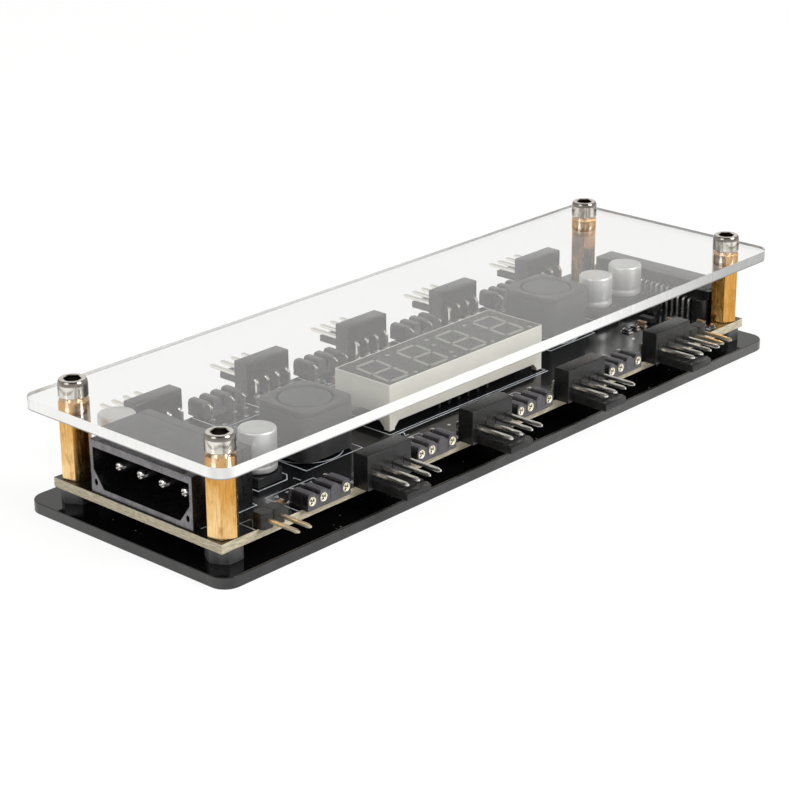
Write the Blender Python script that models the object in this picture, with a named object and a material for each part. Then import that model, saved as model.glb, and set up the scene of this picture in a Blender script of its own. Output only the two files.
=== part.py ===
"""Fan controller hub: a circuit board of connectors between a base plate and a clear cover plate.

Metres, +Z up. The origin is the middle of the base plate's underside. X runs along the board from
the power inlet to the drive power header, and -Y is the near side with four fan headers.
"""
import math

import bmesh
import bpy
from mathutils import Vector

# Clearances
SEAT_GAP = 0.0003          # between two pieces that rest on each other
SIDE_GAP = 0.0003          # round a pin, a shaft or a screw head in its hole
CUT_MARGIN = 0.001         # how far a cutting tool reaches past the face it cuts

# Facets of round shapes
HOLE_SEGMENTS = 16
HEAD_SEGMENTS = 24
TURNED_SEGMENTS = 12
DRUM_SEGMENTS = 24
CAN_SEGMENTS = 20
POWER_PIN_SIDES = 10
LOBE_STEPS = 6
BEND_STEPS = 2

# Plates and board
GROUP_PITCH = 0.0254       # from one fan channel to the next
BOARD_END_MARGIN = 0.0050  # of the board past the row of channels, at each end
BOARD_THICKNESS = 0.0016
PLATE_MARGIN_X = 0.0030    # of the plates past the board
PLATE_MARGIN_Y = 0.0037
PLATE_CORNER_RADIUS = 0.0030
BASE_THICKNESS = 0.0020
COVER_THICKNESS = 0.0019

# Fasteners
FASTENER_INSET_X = 0.0029  # from the board's ends to a fastener's axis
FASTENER_INSET_Y = 0.0026  # from the board's sides to a fastener's axis
SHAFT_RADIUS = 0.00125
STANDOFF_HEIGHT = 0.0115
STANDOFF_ACROSS_FLATS = 0.0047
STANDOFF_CHAMFER = 0.0003
STANDOFF_TURN = math.radians(39)
STANDOFF_CLEARANCE = 0.0003
SPACER_HEIGHT = 0.0016
SPACER_ACROSS_FLATS = 0.0055
SPACER_CHAMFER = 0.0002
HEAD_RADIUS = 0.00245
HEAD_HEIGHT = 0.0026
HEAD_CHAMFER = 0.0004
SOCKET_ACROSS_FLATS = 0.0024
SOCKET_DEPTH = 0.0014
FLAT_HEAD_RADIUS = 0.0022
FLAT_HEAD_SINK = 0.0002    # how far a flat head lies inside the base plate's underside
FLAT_SOCKET_ACROSS_FLATS = 0.0016
FLAT_SOCKET_DEPTH = 0.0007
SHAFT_CHAMFER = 0.0003
SHAFT_GRIP = 0.0045        # length of a shaft inside its standoff

# Power inlet and its four round pins
INLET_SIDE_MARGIN = 0.0016  # of the housing past its pins' places
INLET_HEIGHT = 0.0087
INLET_DEPTH = 0.0127
INLET_WALL = 0.0007
INLET_ROOF = 0.0013
INLET_BACK_WALL = 0.0020
INLET_SETBACK = 0.0005     # from the board's end to the inlet's face
INLET_OFFSET = -0.00105     # of the inlet's middle along Y
INLET_KEY_WIDTH = 0.0022
INLET_KEY_HEIGHT = 0.0030
INLET_CORE_WIDTH = 0.00075  # of the oval core in each lower corner
INLET_CORE_HEIGHT = 0.00105
INLET_CORE_DEPTH = 0.0014
INLET_CORE_INSET = 0.00045
INLET_CORE_LEVEL = 0.0008
POWER_PIN_COUNT = 4
POWER_PIN_PITCH = 0.00508
POWER_PIN_RADIUS = 0.00105
POWER_PIN_RECESS = 0.0020
POWER_PIN_TIP_LENGTH = 0.0008
POWER_PIN_TIP_SCALE = 0.55
POWER_PIN_LEVEL = 0.00455   # of a pin's axis above the board
POWER_TAIL_REACH = 0.0022  # of a pin's tail behind the inlet
POWER_BEND_RADIUS = 0.0014

# Fan headers
CONTACT_PITCH = 0.00254
FAN_PIN_COUNT = 4
NEAR_FAN_COUNT = 4
FAR_FAN_COUNT = 5
NEAR_ROW_MIDDLE = 0.0039   # of the near row of headers along X
FAR_ROW_MIDDLE = 0.0051
HEADER_WALL = 0.0032
HEADER_HEIGHT = 0.0057
HEADER_OVERHANG = 0.00285   # of a header's face past the board's edge
HEADER_TOP_BEVEL = 0.0005
TONGUE_SHARE = 0.55        # of the header's width
TONGUE_SHIFT_SHARE = -0.1
TONGUE_LENGTH = 0.00725
TONGUE_THICKNESS = 0.0010
TONGUE_LIP_HEIGHT = 0.0005
TONGUE_LIP_LENGTH = 0.0016
FAN_PIN_LEVEL = 0.0029
FAN_PIN_REACH = 0.0075
TAIL_REACH = 0.0011        # of a tail's middle behind its housing
PIN_SIDE = 0.00064
PIN_TIP_LENGTH = 0.0006
PIN_TIP_SIDE = 0.0003
PIN_BEND_RADIUS = 0.0008

# Light sockets
SOCKET_LOBES = 4
SOCKET_CONTACTS = (0, 1, 3)
NEAR_SOCKET_SHARE = 0.42   # of the free length of a channel, between a header and its socket
FAR_SOCKET_SHARE = 0.5
LIGHT_SOCKET_DEPTH = 0.0043
LIGHT_SOCKET_OVERHANG = 0.0014
LOBE_OVERLAP = 0.0001      # of a lobe past half the contact pitch
LOBE_LEVEL = 0.0015        # of a contact's axis above the board
CONTACT_HOLE_RADIUS = 0.00042
CONTACT_HOLE_DEPTH = 0.0025
SOCKET_TAIL_SIDE = 0.00045
SOCKET_TAIL_REACH = 0.0007

# Two-pin headers at the ends of the near side
SMALL_HEADER_STANDOFF_GAP = 0.0020
SMALL_HEADER_FAN_GAP = 0.0028
SMALL_HEADER_DEPTH = 0.0025
SMALL_HEADER_HEIGHT = 0.0024
SMALL_HEADER_NOTCH = 0.0004
SMALL_HEADER_OVERHANG = 0.0012
SMALL_PIN_LEVEL = 0.00145
SMALL_PIN_REACH = 0.0065

# Clock display
DISPLAY_LENGTH = 0.0403
DISPLAY_WIDTH = 0.0126
DISPLAY_HEIGHT = 0.0073    # above the board, feet and face included
DISPLAY_Y = -0.0021
DISPLAY_FACE_THICKNESS = 0.0006
DISPLAY_FOOT_WIDTH = 0.0013
DISPLAY_FOOT_HEIGHT = 0.0014
DISPLAY_FOOT_ARCH = 0.0010
DISPLAY_PINS_PER_ROW = 6
DISPLAY_ROW_SPACING = 0.0102
DISPLAY_PIN_SIDE = 0.0005

# Power inductors
INDUCTOR_SIDE = 0.0120
INDUCTOR_HEIGHT = 0.0077
INDUCTOR_CORNER = 0.0022
INDUCTOR_YS = (-0.0026, 0.0032)
DRUM_RADIUS = 0.0048
DRUM_GROOVE_WIDTH = 0.0004
DRUM_GROOVE_DEPTH = 0.0004

# Electrolytic capacitors
CAN_RADIUS = 0.00315
CAN_HEIGHT = 0.0057
CAN_GROOVE_LEVEL = 0.0012
CAN_GROOVE_DEPTH = 0.0003
CAN_EDGE = 0.0003
CAP_BASE_SIDE = 0.0066
CAP_BASE_HEIGHT = 0.0013
CAP_BASE_CHAMFER = 0.0013
CAP_TAB_WIDTH = 0.0008
CAP_TAB_REACH = 0.0004
CAP_TAB_THICKNESS = 0.0003
CORNER_CAP_GAP = 0.0014    # from the far standoff to the first capacitor's tab
CORNER_CAP_EDGE = 0.0003   # from the board's far edge to its foot
CAPACITOR_YS = (-0.0054, 0.0014, 0.0014)

# Drive power header at the right end
DRIVE_MIDDLE = -0.0021     # of the row of leads along Y
DRIVE_HEIGHT = 0.0052
DRIVE_DEPTH = 0.0049
DRIVE_NEAR_MARGIN = 0.0029  # from the last lead to the near end of the mouth
DRIVE_FAR_MARGIN = 0.0053
DRIVE_SHOULDER = 0.0011    # of the housing's back past the near end of the mouth
DRIVE_RELIEF_DEPTH = 0.0035
DRIVE_WALL = 0.0009
DRIVE_CAVITY_DEPTH = 0.0034
DRIVE_TONGUE_MARGIN = 0.0009  # of the tongue past the last leads
DRIVE_TONGUE_THICKNESS = 0.0011
DRIVE_KEY_HEIGHT = 0.0019
DRIVE_LEADS = 15
DRIVE_LEAD_PITCH = 0.00127
DRIVE_LEAD_SIDE = 0.0004
DRIVE_LEAD_LEVEL = 0.0034
DRIVE_LEAD_REACH = 0.0009
DRIVE_BOSS_WIDTH = 0.0034
DRIVE_BOSS_REACH = 0.0016
DRIVE_BOSS_HEIGHT = 0.0037

# Controller chip under the display
CHIP_SIDE = 0.0070
CHIP_HEIGHT = 0.0008
CHIP_CORNER = 0.0004

# Shares of the board's free length: the gaps between the parts in its middle row
ROW_GAP_SHARES = (0.05, 0.135, 0.275, 0.32, 0.12, 0.085, 0.015)

# Levels and places that follow from the sizes above
BOARD_BOTTOM = BASE_THICKNESS + SPACER_HEIGHT + 2 * SEAT_GAP
BOARD_TOP = BOARD_BOTTOM + BOARD_THICKNESS
PART_LEVEL = BOARD_TOP + SEAT_GAP
COVER_BOTTOM = BOARD_TOP + STANDOFF_HEIGHT + 2 * SEAT_GAP
COVER_TOP = COVER_BOTTOM + COVER_THICKNESS
HOLE_RADIUS = SHAFT_RADIUS + SIDE_GAP
INLET_WIDTH = POWER_PIN_COUNT * POWER_PIN_PITCH + 2 * INLET_SIDE_MARGIN
HEADER_WIDTH = FAN_PIN_COUNT * CONTACT_PITCH
SOCKET_WIDTH = SOCKET_LOBES * CONTACT_PITCH
LOBE_RADIUS = CONTACT_PITCH / 2 + LOBE_OVERLAP
DRIVE_LEAD_ROW = (DRIVE_LEADS - 1) * DRIVE_LEAD_PITCH
DRIVE_NEAR_MOUTH = DRIVE_LEAD_ROW / 2 + DRIVE_NEAR_MARGIN
DRIVE_NEAR_REAR = DRIVE_NEAR_MOUTH + DRIVE_SHOULDER
DRIVE_FAR = DRIVE_LEAD_ROW / 2 + DRIVE_FAR_MARGIN
STANDOFF_REACH = STANDOFF_ACROSS_FLATS / math.sqrt(3)
CONNECTOR_REACH = max(DRIVE_NEAR_MOUTH - DRIVE_MIDDLE, DRIVE_FAR + DRIVE_MIDDLE,
                      INLET_WIDTH / 2 + abs(INLET_OFFSET))
FASTENER_Y = CONNECTOR_REACH + STANDOFF_CLEARANCE + STANDOFF_REACH
BOARD_EDGE_Y = FASTENER_Y + FASTENER_INSET_Y
BOARD_EDGE_X = FAR_FAN_COUNT * GROUP_PITCH / 2 + BOARD_END_MARGIN
FASTENER_X = BOARD_EDGE_X - FASTENER_INSET_X
FASTENER_PLACES = [(x, y) for x in (-FASTENER_X, FASTENER_X) for y in (-FASTENER_Y, FASTENER_Y)]
PLATE_LENGTH = 2 * (BOARD_EDGE_X + PLATE_MARGIN_X)
PLATE_WIDTH = 2 * (BOARD_EDGE_Y + PLATE_MARGIN_Y)
CHANNEL_GAP = GROUP_PITCH - HEADER_WIDTH - SOCKET_WIDTH
SOCKET_REACH = (HEADER_WIDTH + SOCKET_WIDTH) / 2


def middle_row():
    """X of the middles of the parts between the inlet and the drive power header, from left to right."""
    inlet = INLET_SETBACK + INLET_DEPTH + POWER_TAIL_REACH + POWER_PIN_RADIUS
    drive = DRIVE_DEPTH + DRIVE_LEAD_REACH + DRIVE_LEAD_SIDE / 2
    widths = (CAP_BASE_SIDE + 2 * CAP_TAB_REACH, INDUCTOR_SIDE, DISPLAY_LENGTH, INDUCTOR_SIDE,
              CAP_BASE_SIDE, CAP_BASE_SIDE)
    free = 2 * BOARD_EDGE_X - inlet - drive - sum(widths)
    left = inlet - BOARD_EDGE_X
    middles = []
    for width, share in zip(widths, ROW_GAP_SHARES):
        left += free * share
        middles.append(left + width / 2)
        left += width
    return middles


# Scene and materials

def clear_scene():
    for old in list(bpy.data.objects):
        bpy.data.objects.remove(old, do_unlink=True)


def make_material(name, color, roughness, metallic=0.0, alpha=1.0):
    finish = bpy.data.materials.new(name)
    finish.use_nodes = True
    shader = finish.node_tree.nodes["Principled BSDF"]
    shader.inputs["Base Color"].default_value = (*color, 1.0)
    shader.inputs["Roughness"].default_value = roughness
    shader.inputs["Metallic"].default_value = metallic
    shader.inputs["Alpha"].default_value = alpha
    return finish


def place(name, mesh, finish, location=(0.0, 0.0, 0.0), turn=0.0):
    """Adds one named sub-part that shows a mesh with a finish."""
    piece = bpy.data.objects.new(name, mesh)
    piece.location = location
    piece.rotation_euler = (0.0, 0.0, turn)
    if not mesh.materials:
        mesh.materials.append(finish)
    bpy.context.scene.collection.objects.link(piece)
    return piece


# Rows and outlines, all outlines counter-clockwise

def centred_offsets(count, pitch):
    return [pitch * (number - (count - 1) / 2) for number in range(count)]


def rounded_rectangle(length, width, radius, steps=6):
    points = []
    for quarter, (sx, sy) in enumerate(((1, 1), (-1, 1), (-1, -1), (1, -1))):
        centre = (sx * (length / 2 - radius), sy * (width / 2 - radius))
        for step in range(steps + 1):
            angle = (quarter + step / steps) * math.pi / 2
            points.append((centre[0] + radius * math.cos(angle), centre[1] + radius * math.sin(angle)))
    return points


def rectangle(x0, x1, y0, y1):
    return [(x0, y0), (x1, y0), (x1, y1), (x0, y1)]


def square(side):
    return rectangle(-side / 2, side / 2, -side / 2, side / 2)


def regular_polygon(sides, across_flats, turn=0.0):
    radius = across_flats / 2 / math.cos(math.pi / sides)
    angles = [turn + math.tau * side / sides for side in range(sides)]
    return [(radius * math.cos(angle), radius * math.sin(angle)) for angle in angles]


# Solids

def add_prism(bm, outline, low, high, along="Z"):
    """Extrudes an outline from low to high: of (x, y) along Z, (y, z) along X or (x, z) along Y."""
    order = {"Z": lambda u, v, w: (u, v, w), "X": lambda u, v, w: (w, u, v), "Y": lambda u, v, w: (u, w, v)}
    rings = [[bm.verts.new(order[along](u, v, level)) for u, v in outline] for level in (low, high)]
    count = len(outline)
    bm.faces.new(rings[0])
    bm.faces.new(rings[1])
    for i in range(count):
        j = (i + 1) % count
        bm.faces.new((rings[0][i], rings[0][j], rings[1][j], rings[1][i]))


def add_lathe(bm, profile, segments, centre=(0.0, 0.0, 0.0)):
    """Turns a profile of (radius, height) points, from axis to axis, about an upright axis."""
    rings = []
    for radius, height in profile:
        count = segments if radius > 0 else 1
        angles = [math.tau * step / segments for step in range(count)]
        rings.append([bm.verts.new((centre[0] + radius * math.cos(a), centre[1] + radius * math.sin(a),
                                    centre[2] + height)) for a in angles])
    for lower, upper in zip(rings, rings[1:]):
        for i in range(segments):
            j = (i + 1) % segments
            below = [lower[k % len(lower)] for k in (i, j)]
            above = [upper[k % len(upper)] for k in (j, i)]
            bm.faces.new(list(dict.fromkeys(below + above)))


def add_sweep(bm, path, section, side):
    """Sweeps a section along a flat path, with the section's first axis along the side vector.

    Each path entry is a point and the section's scale there.
    """
    side = Vector(side)
    points = [Vector(point) for point, _ in path]
    rings = []
    for i, (_, scale) in enumerate(path):
        before = (points[i] - points[i - 1]).normalized() if i else None
        after = (points[i + 1] - points[i]).normalized() if i < len(points) - 1 else None
        forward = ((before or after) + (after or before)).normalized()
        stretch = 1.0 / max(0.3, forward.dot(after or before))
        lift = forward.cross(side)
        rings.append([bm.verts.new(points[i] + side * (u * scale) + lift * (v * scale * stretch))
                      for u, v in section])
    count = len(section)
    bm.faces.new(rings[0])
    bm.faces.new(rings[-1])
    for lower, upper in zip(rings, rings[1:]):
        for i in range(count):
            j = (i + 1) % count
            bm.faces.new((lower[i], lower[j], upper[j], upper[i]))


def bent_path(start, corner, end, radius, steps=BEND_STEPS):
    """Points of a wire that runs from start to end and turns at the corner with a radius."""
    start, corner, end = Vector(start), Vector(corner), Vector(end)
    arriving = (corner - start).normalized()
    leaving = (end - corner).normalized()
    centre = corner - arriving * radius + leaving * radius
    points = [start]
    for step in range(steps + 1):
        angle = step / steps * math.pi / 2
        points.append(centre - leaving * (radius * math.cos(angle)) + arriving * (radius * math.sin(angle)))
    return points + [end]


def finished(bm, name):
    """Turns a set of solids into a mesh with its faces pointing out."""
    bmesh.ops.recalc_face_normals(bm, faces=bm.faces)
    mesh = bpy.data.meshes.new(name)
    bm.to_mesh(mesh)
    bm.free()
    return mesh


def prisms(name, outlines, low, high, along="Z"):
    bm = bmesh.new()
    for outline in outlines:
        add_prism(bm, outline, low, high, along)
    return finished(bm, name)


def lathes(name, profile, segments, centres=((0.0, 0.0, 0.0),)):
    bm = bmesh.new()
    for centre in centres:
        add_lathe(bm, profile, segments, centre)
    return finished(bm, name)


def combined(name, body, *steps):
    """Joins, cuts or intersects a body's mesh with others and returns the result as one mesh."""
    host = bpy.data.objects.new(name, body)
    bpy.context.scene.collection.objects.link(host)
    tools = []
    for operation, mesh in steps:
        tool = bpy.data.objects.new(name + "_tool", mesh)
        tool.hide_render = True
        tool.display_type = "WIRE"
        bpy.context.scene.collection.objects.link(tool)
        modifier = host.modifiers.new(operation.lower(), "BOOLEAN")
        modifier.operation = operation
        modifier.solver = "EXACT"
        modifier.object = tool
        tools.append(tool)
    graph = bpy.context.evaluated_depsgraph_get()
    result = bpy.data.meshes.new_from_object(host.evaluated_get(graph))
    result.name = name
    for old in (host, *tools):
        bpy.data.objects.remove(old, do_unlink=True)
    return result


def smooth(mesh, degrees=35.0):
    mesh.shade_smooth()
    mesh.set_sharp_from_angle(angle=math.radians(degrees))
    return mesh


# Plates and board

def column(radius, low, high):
    """The profile of a plain cylinder that reaches past both levels."""
    low, high = low - CUT_MARGIN, high + CUT_MARGIN
    return [(0.0, low), (radius, low), (radius, high), (0.0, high)]


def fastener_centres():
    return [(x, y, 0.0) for x, y in FASTENER_PLACES]


def countersunk_holes():
    """Holes of the base plate, each with a seat that follows its screw's flat head."""
    cone = FLAT_HEAD_RADIUS + FLAT_HEAD_SINK + SIDE_GAP * math.sqrt(2)
    top = BASE_THICKNESS + CUT_MARGIN
    profile = [(0.0, -CUT_MARGIN), (cone + CUT_MARGIN, -CUT_MARGIN), (HOLE_RADIUS, cone - HOLE_RADIUS),
               (HOLE_RADIUS, top), (0.0, top)]
    return lathes("countersunk_holes", profile, HOLE_SEGMENTS, fastener_centres())


def drilled_plate(name, outline, low, high):
    holes = lathes(name + "_holes", column(HOLE_RADIUS, low, high), HOLE_SEGMENTS, fastener_centres())
    return combined(name, prisms(name + "_blank", [outline], low, high), ("DIFFERENCE", holes))


def build_plates(black_acrylic, clear_acrylic, solder_mask):
    outline = rounded_rectangle(PLATE_LENGTH, PLATE_WIDTH, PLATE_CORNER_RADIUS)
    blank = prisms("base_blank", [outline], 0.0, BASE_THICKNESS)
    base = combined("base_plate", blank, ("DIFFERENCE", countersunk_holes()))
    place("base_plate", base, black_acrylic)
    place("cover_plate", drilled_plate("cover_plate", outline, COVER_BOTTOM, COVER_TOP), clear_acrylic)
    outline = rectangle(-BOARD_EDGE_X, BOARD_EDGE_X, -BOARD_EDGE_Y, BOARD_EDGE_Y)
    place("circuit_board", drilled_plate("circuit_board", outline, BOARD_BOTTOM, BOARD_TOP), solder_mask)


# Fasteners

def hex_tube(name, across_flats, height, chamfer):
    """A hexagonal tube with turned chamfers at both ends."""
    corner_radius = across_flats / 2 / math.cos(math.pi / 6)
    blank = prisms(name + "_blank", [regular_polygon(6, across_flats)], 0.0, height)
    reach = corner_radius + CUT_MARGIN
    flat = corner_radius - chamfer
    slope = (reach - flat) / 2
    profile = [(0.0, 0.0), (flat, 0.0), (reach, slope), (reach, height - slope), (flat, height),
               (0.0, height)]
    envelope = lathes(name + "_envelope", profile, TURNED_SEGMENTS)
    bore = lathes(name + "_bore", column(HOLE_RADIUS, 0.0, height), TURNED_SEGMENTS)
    return combined(name, blank, ("INTERSECT", envelope), ("DIFFERENCE", bore))


def cap_screw(length):
    """A socket-head screw with the underside of its head at height zero."""
    profile = [(0.0, HEAD_HEIGHT), (HEAD_RADIUS - HEAD_CHAMFER, HEAD_HEIGHT),
               (HEAD_RADIUS, HEAD_HEIGHT - HEAD_CHAMFER), (HEAD_RADIUS, 0.0), (SHAFT_RADIUS, 0.0),
               (SHAFT_RADIUS, SHAFT_CHAMFER - length), (SHAFT_RADIUS - SHAFT_CHAMFER, -length),
               (0.0, -length)]
    body = lathes("cap_screw_blank", profile, HEAD_SEGMENTS)
    hexagon = regular_polygon(6, SOCKET_ACROSS_FLATS)
    socket = prisms("hex_socket", [hexagon], HEAD_HEIGHT - SOCKET_DEPTH, HEAD_HEIGHT + CUT_MARGIN)
    return combined("cap_screw", body, ("DIFFERENCE", socket))


def flat_screw(length):
    """A countersunk screw, pointing up, with its flat face at height zero."""
    cone = FLAT_HEAD_RADIUS - SHAFT_RADIUS
    profile = [(0.0, 0.0), (FLAT_HEAD_RADIUS, 0.0), (SHAFT_RADIUS, cone),
               (SHAFT_RADIUS, length - SHAFT_CHAMFER), (SHAFT_RADIUS - SHAFT_CHAMFER, length),
               (0.0, length)]
    body = lathes("flat_screw_blank", profile, HOLE_SEGMENTS)
    hexagon = regular_polygon(6, FLAT_SOCKET_ACROSS_FLATS)
    socket = prisms("flat_socket", [hexagon], -CUT_MARGIN, FLAT_SOCKET_DEPTH)
    return combined("flat_screw", body, ("DIFFERENCE", socket))


def build_fasteners(brass, nickel, black_nylon):
    standoff = hex_tube("standoff", STANDOFF_ACROSS_FLATS, STANDOFF_HEIGHT, STANDOFF_CHAMFER)
    spacer = hex_tube("spacer", SPACER_ACROSS_FLATS, SPACER_HEIGHT, SPACER_CHAMFER)
    head_level = COVER_TOP + SEAT_GAP
    top_screw = smooth(cap_screw(head_level - COVER_BOTTOM + SEAT_GAP + SHAFT_GRIP))
    standoff_level = BOARD_TOP + SEAT_GAP
    bottom_screw = smooth(flat_screw(standoff_level + SHAFT_GRIP - FLAT_HEAD_SINK))
    for number, (x, y) in enumerate(FASTENER_PLACES, start=1):
        place(f"standoff_{number}", standoff, brass, (x, y, standoff_level), STANDOFF_TURN)
        place(f"cover_screw_{number}", top_screw, nickel, (x, y, head_level))
        place(f"base_spacer_{number}", spacer, black_nylon, (x, y, BASE_THICKNESS + SEAT_GAP))
        place(f"base_screw_{number}", bottom_screw, nickel, (x, y, FLAT_HEAD_SINK))


# Power inlet

def power_pin_offsets():
    return centred_offsets(POWER_PIN_COUNT, POWER_PIN_PITCH)


def inlet_housing():
    """The inlet's housing, with its mouth at X zero, its middle at Y zero and the board at Z zero."""
    half = INLET_WIDTH / 2
    floor, roof = SEAT_GAP, SEAT_GAP + INLET_HEIGHT
    inner_depth = INLET_DEPTH - INLET_BACK_WALL
    body = prisms("inlet_blank", [rectangle(-half, half, floor, roof)], 0.0, INLET_DEPTH, "X")
    inner = half - INLET_WALL
    low, high = floor + INLET_WALL, roof - INLET_ROOF
    key_x, key_top = inner - INLET_KEY_WIDTH, low + INLET_KEY_HEIGHT
    cavity = [(-key_x, low), (key_x, low), (inner, key_top), (inner, high), (-inner, high),
              (-inner, key_top)]
    hollow = prisms("inlet_cavity", [cavity], -CUT_MARGIN, inner_depth, "X")
    hole = regular_polygon(POWER_PIN_SIDES, 2 * (POWER_PIN_RADIUS + SIDE_GAP))
    rings = [[(offset + u, POWER_PIN_LEVEL + v) for u, v in hole] for offset in power_pin_offsets()]
    pin_holes = prisms("inlet_pin_holes", rings, inner_depth - CUT_MARGIN, INLET_DEPTH + CUT_MARGIN, "X")
    oval = [(INLET_CORE_WIDTH * u, INLET_CORE_HEIGHT * v) for u, v in regular_polygon(8, 1.0, math.pi / 8)]
    rings = [[(sign * (inner - INLET_CORE_INSET) + u, low + INLET_CORE_LEVEL + v) for u, v in oval]
             for sign in (-1, 1)]
    key_cores = prisms("inlet_key_cores", rings, -CUT_MARGIN, INLET_CORE_DEPTH, "X")
    cuts = [("DIFFERENCE", cutter) for cutter in (hollow, pin_holes, key_cores)]
    return combined("inlet", body, *cuts)


def power_pin():
    """A round pin along X that turns down to the board behind the inlet."""
    back = INLET_DEPTH + POWER_TAIL_REACH
    path = bent_path((POWER_PIN_RECESS, 0.0, POWER_PIN_LEVEL), (back, 0.0, POWER_PIN_LEVEL),
                     (back, 0.0, SEAT_GAP), POWER_BEND_RADIUS, 4)
    shoulder = path[0] + Vector((POWER_PIN_TIP_LENGTH, 0.0, 0.0))
    entries = [(path[0], POWER_PIN_TIP_SCALE), (shoulder, 1.0)] + [(point, 1.0) for point in path[1:]]
    bm = bmesh.new()
    add_sweep(bm, entries, regular_polygon(POWER_PIN_SIDES, 2 * POWER_PIN_RADIUS), (0.0, 1.0, 0.0))
    return finished(bm, "power_pin")


def build_power_inlet(black_plastic, tin):
    mouth = -BOARD_EDGE_X + INLET_SETBACK
    place("power_inlet", inlet_housing(), black_plastic, (mouth, INLET_OFFSET, BOARD_TOP))
    pin = smooth(power_pin())
    for number, offset in enumerate(power_pin_offsets(), start=1):
        place(f"power_pin_{number}", pin, tin, (mouth, INLET_OFFSET + offset, BOARD_TOP))


# Connectors along the sides, each with its face at Y zero, pins towards -Y and the board at Z zero

def square_pin_path(level, reach, corner_y):
    """A pin that runs out to its tip from the board, with the scale of its section at each point."""
    foot, corner, tip = (0.0, corner_y, SEAT_GAP), (0.0, corner_y, level), (0.0, -reach, level)
    path = bent_path(foot, corner, tip, PIN_BEND_RADIUS)
    shoulder = Vector((0.0, PIN_TIP_LENGTH - reach, level))
    return [(point, 1.0) for point in path[:-1]] + [(shoulder, 1.0), (path[-1], PIN_TIP_SIDE / PIN_SIDE)]


def pin_row(offsets, level, reach, corner_y, side):
    bm = bmesh.new()
    path = square_pin_path(level, reach, corner_y)
    for offset in offsets:
        shifted = [(point + Vector((offset, 0.0, 0.0)), scale) for point, scale in path]
        add_sweep(bm, shifted, square(side), (1.0, 0.0, 0.0))
    return finished(bm, "pin_row")


def fan_header():
    """A wall with four pins through it and a locking tongue under the pins."""
    half = HEADER_WIDTH / 2
    top = SEAT_GAP + HEADER_HEIGHT
    bevel = HEADER_TOP_BEVEL
    wall = [(0.0, SEAT_GAP), (HEADER_WALL, SEAT_GAP), (HEADER_WALL, top - bevel),
            (HEADER_WALL - bevel, top), (bevel, top), (0.0, top - bevel)]
    body = prisms("header_wall", [wall], -half, half, "X")
    tip = -TONGUE_LENGTH
    upper = SEAT_GAP + TONGUE_THICKNESS
    lip = upper + TONGUE_LIP_HEIGHT
    profile = [(tip, SEAT_GAP), (HEADER_WALL / 2, SEAT_GAP), (HEADER_WALL / 2, upper),
               (tip + TONGUE_LIP_LENGTH, upper), (tip + TONGUE_LIP_LENGTH / 2, lip), (tip, upper)]
    left, right = [HEADER_WIDTH * (TONGUE_SHIFT_SHARE + sign * TONGUE_SHARE / 2) for sign in (-1, 1)]
    tongue = prisms("header_tongue", [profile], left, right, "X")
    offsets = centred_offsets(FAN_PIN_COUNT, CONTACT_PITCH)
    pins = pin_row(offsets, FAN_PIN_LEVEL, FAN_PIN_REACH, HEADER_WALL + TAIL_REACH, PIN_SIDE)
    return combined("fan_header", body, ("UNION", tongue), ("UNION", pins))


def light_socket():
    """Four round lobes side by side, three of them with a contact, and a tail behind each contact."""
    offsets = centred_offsets(SOCKET_LOBES, CONTACT_PITCH)
    edge = CONTACT_PITCH / 2
    valley = math.sqrt(max(LOBE_RADIUS ** 2 - edge ** 2, 0.0))
    start = math.atan2(valley, edge)
    outline = [(offsets[0] - edge, SEAT_GAP), (offsets[-1] + edge, SEAT_GAP)]
    for offset in reversed(offsets):
        for step in range(0 if offset == offsets[-1] else 1, LOBE_STEPS + 1):
            angle = start + (math.pi - 2 * start) * step / LOBE_STEPS
            u, v = LOBE_RADIUS * math.cos(angle), LOBE_RADIUS * math.sin(angle)
            outline.append((offset + u, LOBE_LEVEL + v))
    body = prisms("socket_blank", [outline], 0.0, LIGHT_SOCKET_DEPTH, "Y")
    contacts = [offsets[number] for number in SOCKET_CONTACTS]
    hole = regular_polygon(8, 2 * CONTACT_HOLE_RADIUS, math.pi / 8)
    rings = [[(offset + u, LOBE_LEVEL + v) for u, v in hole] for offset in contacts]
    holes = prisms("socket_holes", rings, -CUT_MARGIN, CONTACT_HOLE_DEPTH, "Y")
    tail_y = LIGHT_SOCKET_DEPTH + SOCKET_TAIL_REACH
    root_y = LIGHT_SOCKET_DEPTH - SOCKET_TAIL_SIDE
    bm = bmesh.new()
    for offset in contacts:
        path = bent_path((offset, tail_y, SEAT_GAP), (offset, tail_y, LOBE_LEVEL),
                         (offset, root_y, LOBE_LEVEL), SOCKET_TAIL_SIDE)
        add_sweep(bm, [(point, 1.0) for point in path], square(SOCKET_TAIL_SIDE), (1.0, 0.0, 0.0))
    tails = finished(bm, "socket_tails")
    return combined("light_socket", body, ("DIFFERENCE", holes), ("UNION", tails))


def small_header():
    """A two-pin header: a block with notched corners at each contact and two square pins."""
    offsets = centred_offsets(2, CONTACT_PITCH)
    edge, notch = CONTACT_PITCH, SMALL_HEADER_NOTCH
    near = [(-edge, notch), (notch - edge, 0.0), (-notch, 0.0), (0.0, notch), (notch, 0.0),
            (edge - notch, 0.0), (edge, notch)]
    far = [(x, SMALL_HEADER_DEPTH - y) for x, y in reversed(near)]
    body = prisms("small_header_block", [near + far], SEAT_GAP, SEAT_GAP + SMALL_HEADER_HEIGHT)
    pins = pin_row(offsets, SMALL_PIN_LEVEL, SMALL_PIN_REACH, SMALL_HEADER_DEPTH + TAIL_REACH, PIN_SIDE)
    return combined("small_header", body, ("UNION", pins))


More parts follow.
